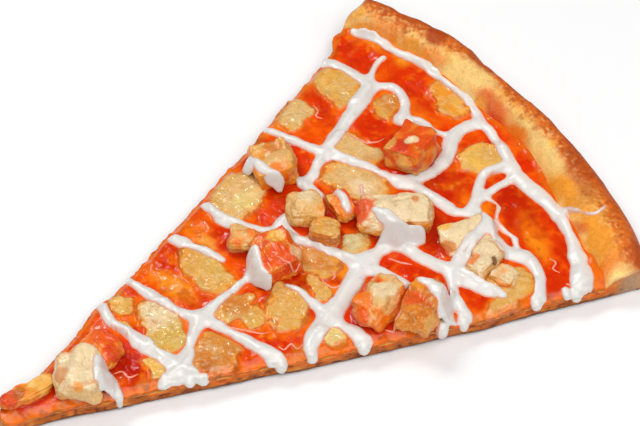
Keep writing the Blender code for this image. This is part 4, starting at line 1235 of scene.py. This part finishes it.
def ground_under(x, y, wanted, surface):
    """Heights of the toppings below places, sloping down from the chunks' tops; NaN off the slice."""
    ground = np.full_like(x, np.nan)
    down = Vector((0, 0, -1))
    where = np.argwhere(wanted)
    places = from_middle(x[wanted], y[wanted], SKY)
    for (row, column), place in zip(where.tolist(), places.tolist()):
        hit = surface.ray_cast(Vector(place), down)[0]
        if hit:
            ground[row, column] = hit.z / MM
    filled = np.where(np.isnan(ground), LAYER_TOP, ground)
    for _ in range(POUR_FALL_CELLS):
        before = filled
        for shift in NEARBY[:4]:
            filled = np.maximum(filled, np.roll(before, shift, (0, 1)) - POUR_FALL * POUR_CELL)
    return np.where(np.isnan(ground), np.nan, blurred(filled, 4))


def pour_mesh(surface):
    """The ranch on the slice as one closed sheet: thick in the middle and thin at its edges."""
    steps_x, steps_y = int(128 / POUR_CELL), int(182 / POUR_CELL)
    x, y = np.meshgrid(
        -64.5 + POUR_CELL * np.arange(steps_x), -1.0 + POUR_CELL * np.arange(steps_y), indexing="ij"
    )
    reach = blurred(pour_reach(x, y), 2)
    ground = ground_under(x, y, reach > POUR_EDGE, surface)
    kept = ~np.isnan(ground)
    known = np.where(kept, ground, 99.0)
    beneath = np.minimum.reduce([known] + [np.roll(known, shift, (0, 1)) for shift in NEARBY]) - 1.0
    rise = np.where(reach > 0, 0.86 * np.maximum(reach, 0) ** 0.6, 1.2 * reach)
    number = np.full(x.shape, -1)
    number[kept] = np.arange(kept.sum())
    squares = kept[:-1, :-1] & kept[1:, :-1] & kept[1:, 1:] & kept[:-1, 1:]
    row, column = np.nonzero(squares)
    top = np.stack([
        number[row, column], number[row + 1, column], number[row + 1, column + 1], number[row, column + 1],
    ], -1)
    count = int(kept.sum())
    edges = np.concatenate([top[:, [0, 1]], top[:, [1, 2]], top[:, [2, 3]], top[:, [3, 0]]])
    both = edges[:, 0] * count + edges[:, 1]
    open_edges = edges[~np.isin(both, edges[:, 1] * count + edges[:, 0])]
    one_end, other_end = open_edges.T
    walls = np.stack([other_end, one_end, one_end + count, other_end + count], -1)
    high = from_middle(x[kept], y[kept], (ground + rise)[kept])
    low = from_middle(x[kept], y[kept], beneath[kept])
    faces = np.concatenate([top, walls, top[:, ::-1] + count])
    return mesh_from("ranch_pour", np.concatenate([high, low]), faces.tolist())


def drip_lines():
    """The middle lines of the drips as one curve object, each point with its half width."""
    curve = bpy.data.curves.new("ranch_drips", "CURVE")
    curve.dimensions = "3D"
    for reach, width, lowest in RANCH_DRIPS:
        x, y = (float(value) for value in slice_place(np.array(1.0), np.array(reach)))
        out_x, out_y = math.cos(SLICE_ANGLE / 2), -math.sin(SLICE_ANGLE / 2)
        half = width / 2
        crest = LAYER_TOP + 0.35
        stroke = (
            (-2.4, crest - 0.85 * half, 0.8),
            (-1.0, crest - 0.85 * half, 0.85),
            (-0.3, crest - 0.95 * half, 0.85),
            (-0.1, (crest - half) * 0.45 + lowest * 0.55, 0.74), (-0.05, lowest + 0.45 * half, 0.7),
            (-0.05, lowest + 0.15 * half, 0.56),
        )
        line = curve.splines.new("BEZIER")
        line.bezier_points.add(len(stroke) - 1)
        line.resolution_u = 8
        for point, (out, height, share) in zip(line.bezier_points, stroke):
            point.co = from_middle(*np.array([x + out * out_x, y + out * out_y, height]))
            point.handle_left_type = point.handle_right_type = "AUTO"
            point.radius = half * share * MM
    return linked("drip_lines", curve)


def height_below(surface, x, y):
    """Height in millimetres of the toppings below a place."""
    hit = surface.ray_cast(Vector(from_middle(*np.array([x, y, SKY]))), Vector((0, 0, -1)))[0]
    return hit.z / MM if hit else LAYER_TOP


def make_ranch_glint_lines(surface, finish):
    """Low pinkish ridges on the sauce, thick in their middle and thin at their ends: ranch mixed with sauce,
    their pale pink partly a painted highlight.
    """
    curve = bpy.data.curves.new("mixed_lines", "CURVE")
    curve.dimensions = "3D"
    for points in RANCH_GLINT_LINES:
        run = smooth_run([(x, y, 1.0) for x, y in points], 0.45)
        line = curve.splines.new("POLY")
        line.points.add(len(run) - 1)
        for index, (point, (x, y, _)) in enumerate(zip(line.points, run.tolist())):
            point.co = (*from_middle(*np.array([x, y, height_below(surface, x, y)])), 1.0)
            taper = math.sin(math.pi * (index + 0.6) / (len(run) + 0.2)) ** 0.6
            point.radius = RANCH_GLINT_LINE_HALF * taper * MM
    lines = linked("line_paths", curve)
    made = plain_mesh("mixed_lines", lines, drip_tree(), {"Finish": finish, "Step": 0.4 * MM, "Wobble": 0.5})
    bpy.data.objects.remove(lines)
    return made


def joined_copy(name, meshes):
    """One mesh object of several meshes."""
    bm = bmesh.new()
    for mesh in meshes:
        bm.from_mesh(mesh)
    joined = bpy.data.meshes.new(name)
    bm.to_mesh(joined)
    bm.free()
    return linked(name, joined)


def surface_of(piece):
    return BVHTree.FromPolygons(
        [tuple(corner) for corner in corners_of(piece.data).tolist()],
        [tuple(face.vertices) for face in piece.data.polygons],
    )


def make_ranch(surface, finish):
    pour = pour_mesh(surface)
    lines = drip_lines()
    drips = plain_mesh("ranch_drips", lines, drip_tree(), {"Finish": finish})
    beads = joined_copy("ranch_beads", [pour, drips.data])
    remesh = beads.modifiers.new("one body", "REMESH")
    remesh.mode = "VOXEL"
    remesh.voxel_size = RANCH_VOXEL * MM
    relax = beads.modifiers.new("flow together", "SMOOTH")
    relax.factor = 0.5
    relax.iterations = 5
    bpy.context.view_layer.update()
    mesh = bpy.data.meshes.new_from_object(beads.evaluated_get(bpy.context.evaluated_depsgraph_get()))
    mesh.name = "ranch_drizzle"
    for helper in (beads, lines, drips):
        bpy.data.objects.remove(helper)
    place = corners_of(mesh)
    thick = np.zeros(len(place))
    for index, corner in enumerate(place.tolist()):
        hit = surface.ray_cast(Vector((corner[0], corner[1], 40 * MM)), Vector((0, 0, -1)))[0]
        thick[index] = (corner[2] - hit.z) / MM if hit else 0.8
    x, y, z = in_millimetres(mesh)
    tone = rough_noise(x, y, 5.0, 151, 3)
    paint = np.broadcast_to(colour("ranch"), (len(place), 3))
    paint = mix(paint, colour("ranch shade"), 0.5 * ease(0.25 + tone))
    paint = mix(paint, colour("pink"), 0.95 * ease((0.52 + 0.15 * tone - thick) / 0.36))
    put_colour(mesh, paint)
    put_number(mesh, ease((thick - 0.5) / 0.4), "top")
    mesh.shade_smooth()
    outwards(mesh)
    return linked("ranch_drizzle", mesh)


# ------------------------------------------------------------------ finishes


def material_with(name):
    material = bpy.data.materials.new(name)
    material.use_nodes = True
    tree = material.node_tree
    return material, tree, tree.nodes["Principled BSDF"]


def object_noise(tree, size, detail=3.0, roughness=0.6):
    """A noise pattern of one size in millimetres, on the piece's own coordinates."""
    place = add_node(tree, "ShaderNodeTexCoord")
    pattern = add_node(tree, "ShaderNodeTexNoise")
    tree.links.new(place.outputs["Object"], pattern.inputs["Vector"])
    pattern.inputs["Scale"].default_value = 1 / (size * MM)
    pattern.inputs["Detail"].default_value = detail
    pattern.inputs["Roughness"].default_value = roughness
    return pattern.outputs[0]


def ranged(tree, pattern, low, high):
    """A number that runs from low to high over the middle of a pattern."""
    span = add_node(tree, "ShaderNodeMapRange")
    tree.links.new(pattern, span.inputs["Value"])
    ends = {"From Min": 0.3, "From Max": 0.7, "To Min": low, "To Max": high}
    for key, value in ends.items():
        span.inputs[key].default_value = value
    return span.outputs[0]


def varied(tree, base, pattern, darker, lighter):
    """A colour that a pattern makes a little darker and lighter."""
    scaled = add_node(tree, "ShaderNodeVectorMath", operation="SCALE")
    tree.links.new(base, scaled.inputs[0])
    tree.links.new(ranged(tree, pattern, darker, lighter), scaled.inputs["Scale"])
    return scaled.outputs[0]


def bumped(tree, shader, pattern, depth):
    """Relief of a depth in millimetres."""
    bump_node = add_node(tree, "ShaderNodeBump")
    bump_node.inputs["Distance"].default_value = depth * MM
    bump_node.inputs["Strength"].default_value = 1.0
    tree.links.new(pattern, bump_node.inputs["Height"])
    tree.links.new(bump_node.outputs[0], shader.inputs["Normal"])


def tinted(tree):
    attribute = add_node(tree, "ShaderNodeAttribute", attribute_name="tint")
    return attribute.outputs["Color"]


def numbered(tree, name):
    attribute = add_node(tree, "ShaderNodeAttribute", attribute_name=name)
    return attribute.outputs["Fac"]


def set_inputs(shader, **values):
    for key, value in values.items():
        shader.inputs[key.replace("_", " ")].default_value = value


def dough_finish():
    material, tree, shader = material_with("baked dough")
    base = varied(tree, tinted(tree), object_noise(tree, 0.7, 3.0, 0.65), 0.84, 1.12)
    base = varied(tree, base, object_noise(tree, 4.5, 2.0), 0.90, 1.06)
    tree.links.new(base, shader.inputs["Base Color"])
    tree.links.new(ranged(tree, object_noise(tree, 3.0), 0.5, 0.72), shader.inputs["Roughness"])
    bumped(tree, shader, object_noise(tree, 0.7, 4.0, 0.65), 0.18)
    set_inputs(shader, Subsurface_Weight=0.06, Subsurface_Scale=0.001, Specular_IOR_Level=0.25)
    shader.inputs["Subsurface Radius"].default_value = (1.0, 0.5, 0.25)
    return material


def sauce_finish():
    """Wet sauce and greasy cheese in one finish, told apart by the cheese attribute."""
    material, tree, shader = material_with("buffalo sauce and cheese")
    cheese = numbered(tree, "cheese")
    grain = object_noise(tree, 0.75, 2.0, 0.55)
    base = varied(tree, tinted(tree), grain, 0.94, 1.05)
    base = varied(tree, base, object_noise(tree, 2.4, 3.0), 0.92, 1.06)
    tree.links.new(base, shader.inputs["Base Color"])
    rough = calculate(tree, "ADD", calculate(tree, "MULTIPLY", cheese, 0.12), 0.14)
    tree.links.new(rough, shader.inputs["Roughness"])
    grained = calculate(tree, "ADD", calculate(tree, "MULTIPLY", cheese, 0.85), 0.15)
    height = calculate(tree, "MULTIPLY", grain, grained)
    bumped(tree, shader, height, 0.55)
    coat = calculate(tree, "ADD", calculate(tree, "MULTIPLY", cheese, 0.5), 0.2)
    tree.links.new(coat, shader.inputs["Coat Weight"])
    set_inputs(shader, Coat_Roughness=0.05, Specular_IOR_Level=0.12)
    set_inputs(shader, Subsurface_Weight=0.06, Subsurface_Scale=0.0006)
    shader.inputs["Subsurface Radius"].default_value = (1.0, 0.3, 0.1)
    return material


def ranch_finish():
    material, tree, shader = material_with("ranch dressing")
    base = varied(tree, tinted(tree), object_noise(tree, 3.0), 0.96, 1.0)
    tree.links.new(base, shader.inputs["Base Color"])
    tree.links.new(ranged(tree, object_noise(tree, 4.0), 0.24, 0.36), shader.inputs["Roughness"])
    bumped(tree, shader, object_noise(tree, 1.6, 2.0), 0.06)
    set_inputs(shader, Subsurface_Weight=0.45, Subsurface_Scale=0.0018, Coat_Weight=0.25, Coat_Roughness=0.12)
    shader.inputs["Subsurface Radius"].default_value = (1.0, 0.75, 0.6)
    return material


def ranch_glint_finish():
    """Sauce with ranch in it: pinkish and wet, its pale pink partly a painted highlight."""
    material, tree, shader = material_with("sauce mixed with ranch")
    pale = add_node(tree, "ShaderNodeMix", data_type="RGBA")
    tree.links.new(object_noise(tree, 3.0), pale.inputs["Factor"])
    pale.inputs["A"].default_value = (*colour("rose"), 1)
    pale.inputs["B"].default_value = (*colour("pink"), 1)
    tree.links.new(pale.outputs["Result"], shader.inputs["Base Color"])
    set_inputs(shader, Roughness=0.15, Coat_Weight=0.4, Coat_Roughness=0.05)
    return material


def meat_finish():
    material, tree, shader = material_with("cooked chicken")
    base = varied(tree, tinted(tree), object_noise(tree, 0.6, 3.0), 0.90, 1.07)
    base = varied(tree, base, object_noise(tree, 2.0, 3.0), 0.91, 1.06)
    tree.links.new(base, shader.inputs["Base Color"])
    tree.links.new(ranged(tree, object_noise(tree, 1.8), 0.26, 0.5), shader.inputs["Roughness"])
    bumped(tree, shader, object_noise(tree, 0.6, 3.0, 0.6), 0.24)
    set_inputs(shader, Subsurface_Weight=0.10, Subsurface_Scale=0.0012, Coat_Weight=0.4, Coat_Roughness=0.08)
    set_inputs(shader, Specular_IOR_Level=0.22)
    shader.inputs["Subsurface Radius"].default_value = (1.0, 0.45, 0.2)
    return material


def herb_finish():
    material, tree, shader = material_with("dried herb")
    base = add_node(tree, "ShaderNodeMix", data_type="RGBA")
    tree.links.new(object_noise(tree, 9.0, 1.0), base.inputs["Factor"])
    base.inputs["A"].default_value = (0.16, 0.22, 0.12, 1)
    base.inputs["B"].default_value = (0.42, 0.46, 0.34, 1)
    tree.links.new(base.outputs["Result"], shader.inputs["Base Color"])
    set_inputs(shader, Roughness=0.6)
    return material


def floor_finish():
    material, tree, shader = material_with("studio floor")
    base = varied(tree, add_white(tree), object_noise(tree, 220.0, 1.0), 0.985, 1.0)
    tree.links.new(base, shader.inputs["Base Color"])
    set_inputs(shader, Roughness=0.85, Specular_IOR_Level=0.15)
    return material


def add_white(tree):
    white = add_node(tree, "ShaderNodeRGB")
    white.outputs[0].default_value = (0.93, 0.93, 0.93, 1)
    return white.outputs[0]


# ------------------------------------------------------------------ camera, light and floor

CAMERA_LENS = 142.235
CAMERA_DISTANCE = 0.700
CAMERA_TURN = math.radians(54.424)
CAMERA_LIFT = math.radians(50.7576)
CAMERA_TARGET = Vector((-0.011476, 0.021042, 0.0))


def make_camera():
    data = bpy.data.cameras.new("camera")
    data.lens = CAMERA_LENS
    data.sensor_width = 36
    data.clip_start = 0.01
    camera = linked("camera", data)
    flat = math.cos(CAMERA_LIFT)
    back = Vector((math.sin(CAMERA_TURN) * flat, -math.cos(CAMERA_TURN) * flat, math.sin(CAMERA_LIFT)))
    camera.location = CAMERA_TARGET + back * CAMERA_DISTANCE
    camera.rotation_euler = back.to_track_quat("Z", "Y").to_euler()
    bpy.context.scene.camera = camera


def make_light(name, place, size, power):
    """A round lamp that shines at the slice."""
    data = bpy.data.lights.new(name, "AREA")
    data.shape = "DISK"
    data.size = size
    data.energy = power
    lamp = linked(name, data)
    lamp.location = place
    lamp.rotation_euler = Vector(place).to_track_quat("Z", "Y").to_euler()


def make_studio():
    """A pale floor, a bright even surround, three soft lamps and a small one that glints on what is wet."""
    across = Vector((math.cos(CAMERA_TURN), math.sin(CAMERA_TURN), 0))
    ahead = Vector((-math.sin(CAMERA_TURN), math.cos(CAMERA_TURN), 0))
    up = Vector((0, 0, 1))
    make_light("key", -0.42 * across + 0.36 * ahead + 0.76 * up, 0.34, 2.9)
    make_light("glint", -0.16 * across + 0.52 * ahead + 0.76 * up, 0.06, 0.45)
    make_light("overhead", 0.05 * across - 0.50 * ahead + 0.92 * up, 0.90, 8.2)
    make_light("side", 0.60 * across - 0.10 * ahead + 0.75 * up, 0.60, 1.6)
    world = bpy.data.worlds.new("surround")
    world.use_nodes = True
    world.node_tree.nodes["Background"].inputs["Color"].default_value = (1.0, 1.0, 1.0, 1)
    world.node_tree.nodes["Background"].inputs["Strength"].default_value = 0.14
    bpy.context.scene.world = world
    bpy.context.scene.view_settings.view_transform = "Standard"
    bm = bmesh.new()
    bmesh.ops.create_grid(bm, x_segments=2, y_segments=2, size=3.0)
    mesh = bpy.data.meshes.new("floor")
    bm.to_mesh(mesh)
    bm.free()
    mesh.materials.append(floor_finish())
    floor = linked("floor", mesh)
    floor.location.z = -0.0003


# ------------------------------------------------------------------ putting it together


def settle(piece, finish, slot, *nodes):
    """Gives a finished piece its material and body, and hides the solids that it stands for; the slot is not
    used.
    """
    piece.data.materials.clear()
    piece.data.materials.append(finish)
    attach(piece, "root")
    if nodes:
        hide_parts(*nodes)


def flake_shape():
    """A little bent leaf flake, one millimetre long."""
    bm = bmesh.new()
    bmesh.ops.create_grid(bm, x_segments=2, y_segments=1, size=0.5)
    for corner in bm.verts:
        along, across = corner.co.x, corner.co.y
        corner.co = Vector((along, across * (0.7 - 0.9 * abs(along)), 0.16 - 0.5 * along ** 2))
    faces = bmesh.ops.extrude_face_region(bm, geom=bm.faces[:])["geom"]
    for item in faces:
        if isinstance(item, bmesh.types.BMVert):
            item.co.z -= 0.12
    bmesh.ops.recalc_face_normals(bm, faces=bm.faces)
    bm.transform(Matrix.Scale(MM, 4))
    mesh = bpy.data.meshes.new("herb_flake")
    bm.to_mesh(mesh)
    bm.free()
    return linked("herb_flake", mesh)


make_camera()
make_studio()
meat = meat_finish()
layer = make_layer()
crust = make_crust()
chunks = [make_chunk(number, row) for number, row in enumerate(CHICKEN)]
ranch_bearers = [name for name, _ in RANCH_ON_CHICKEN]
poured_over = [chunk for row, chunk in zip(CHICKEN, chunks) if row[0] in (*ranch_bearers, *POURED_OVER)]
toppings = joined_copy("toppings", [piece.data for piece in (layer, crust, *poured_over)])
dressing = ranch_finish()
surface = surface_of(toppings)
ranch = make_ranch(surface, dressing)
# Pale pink lines on the sauce: ranch mixed in, and partly a painted highlight
mixed_lines = make_ranch_glint_lines(surface, ranch_glint_finish())
flake = flake_shape()
herbs = plain_mesh("herb_specks", ranch, scatter_tree(), {
    "Bit": flake, "Density": 26000.0, "Smallest": 0.35, "Largest": 0.95, "Seed": 5, "Where": "top",
    "Finish": herb_finish(),
})
for helper in (toppings, flake):
    bpy.data.objects.remove(helper)

settle(crust, dough_finish(), "baked_dough", "crust")
settle(layer, sauce_finish(), "buffalo_sauce", "sauce_and_cheese")
settle(ranch, dressing, "ranch_dressing", "sauce_and_cheese", *ranch_bearers)
for row, chunk in zip(CHICKEN, chunks):
    settle(chunk, meat, "cooked_chicken", row[0])
settle(mixed_lines, mixed_lines.data.materials[0], "buffalo_sauce")
settle(herbs, herbs.data.materials[0], "ranch_dressing")
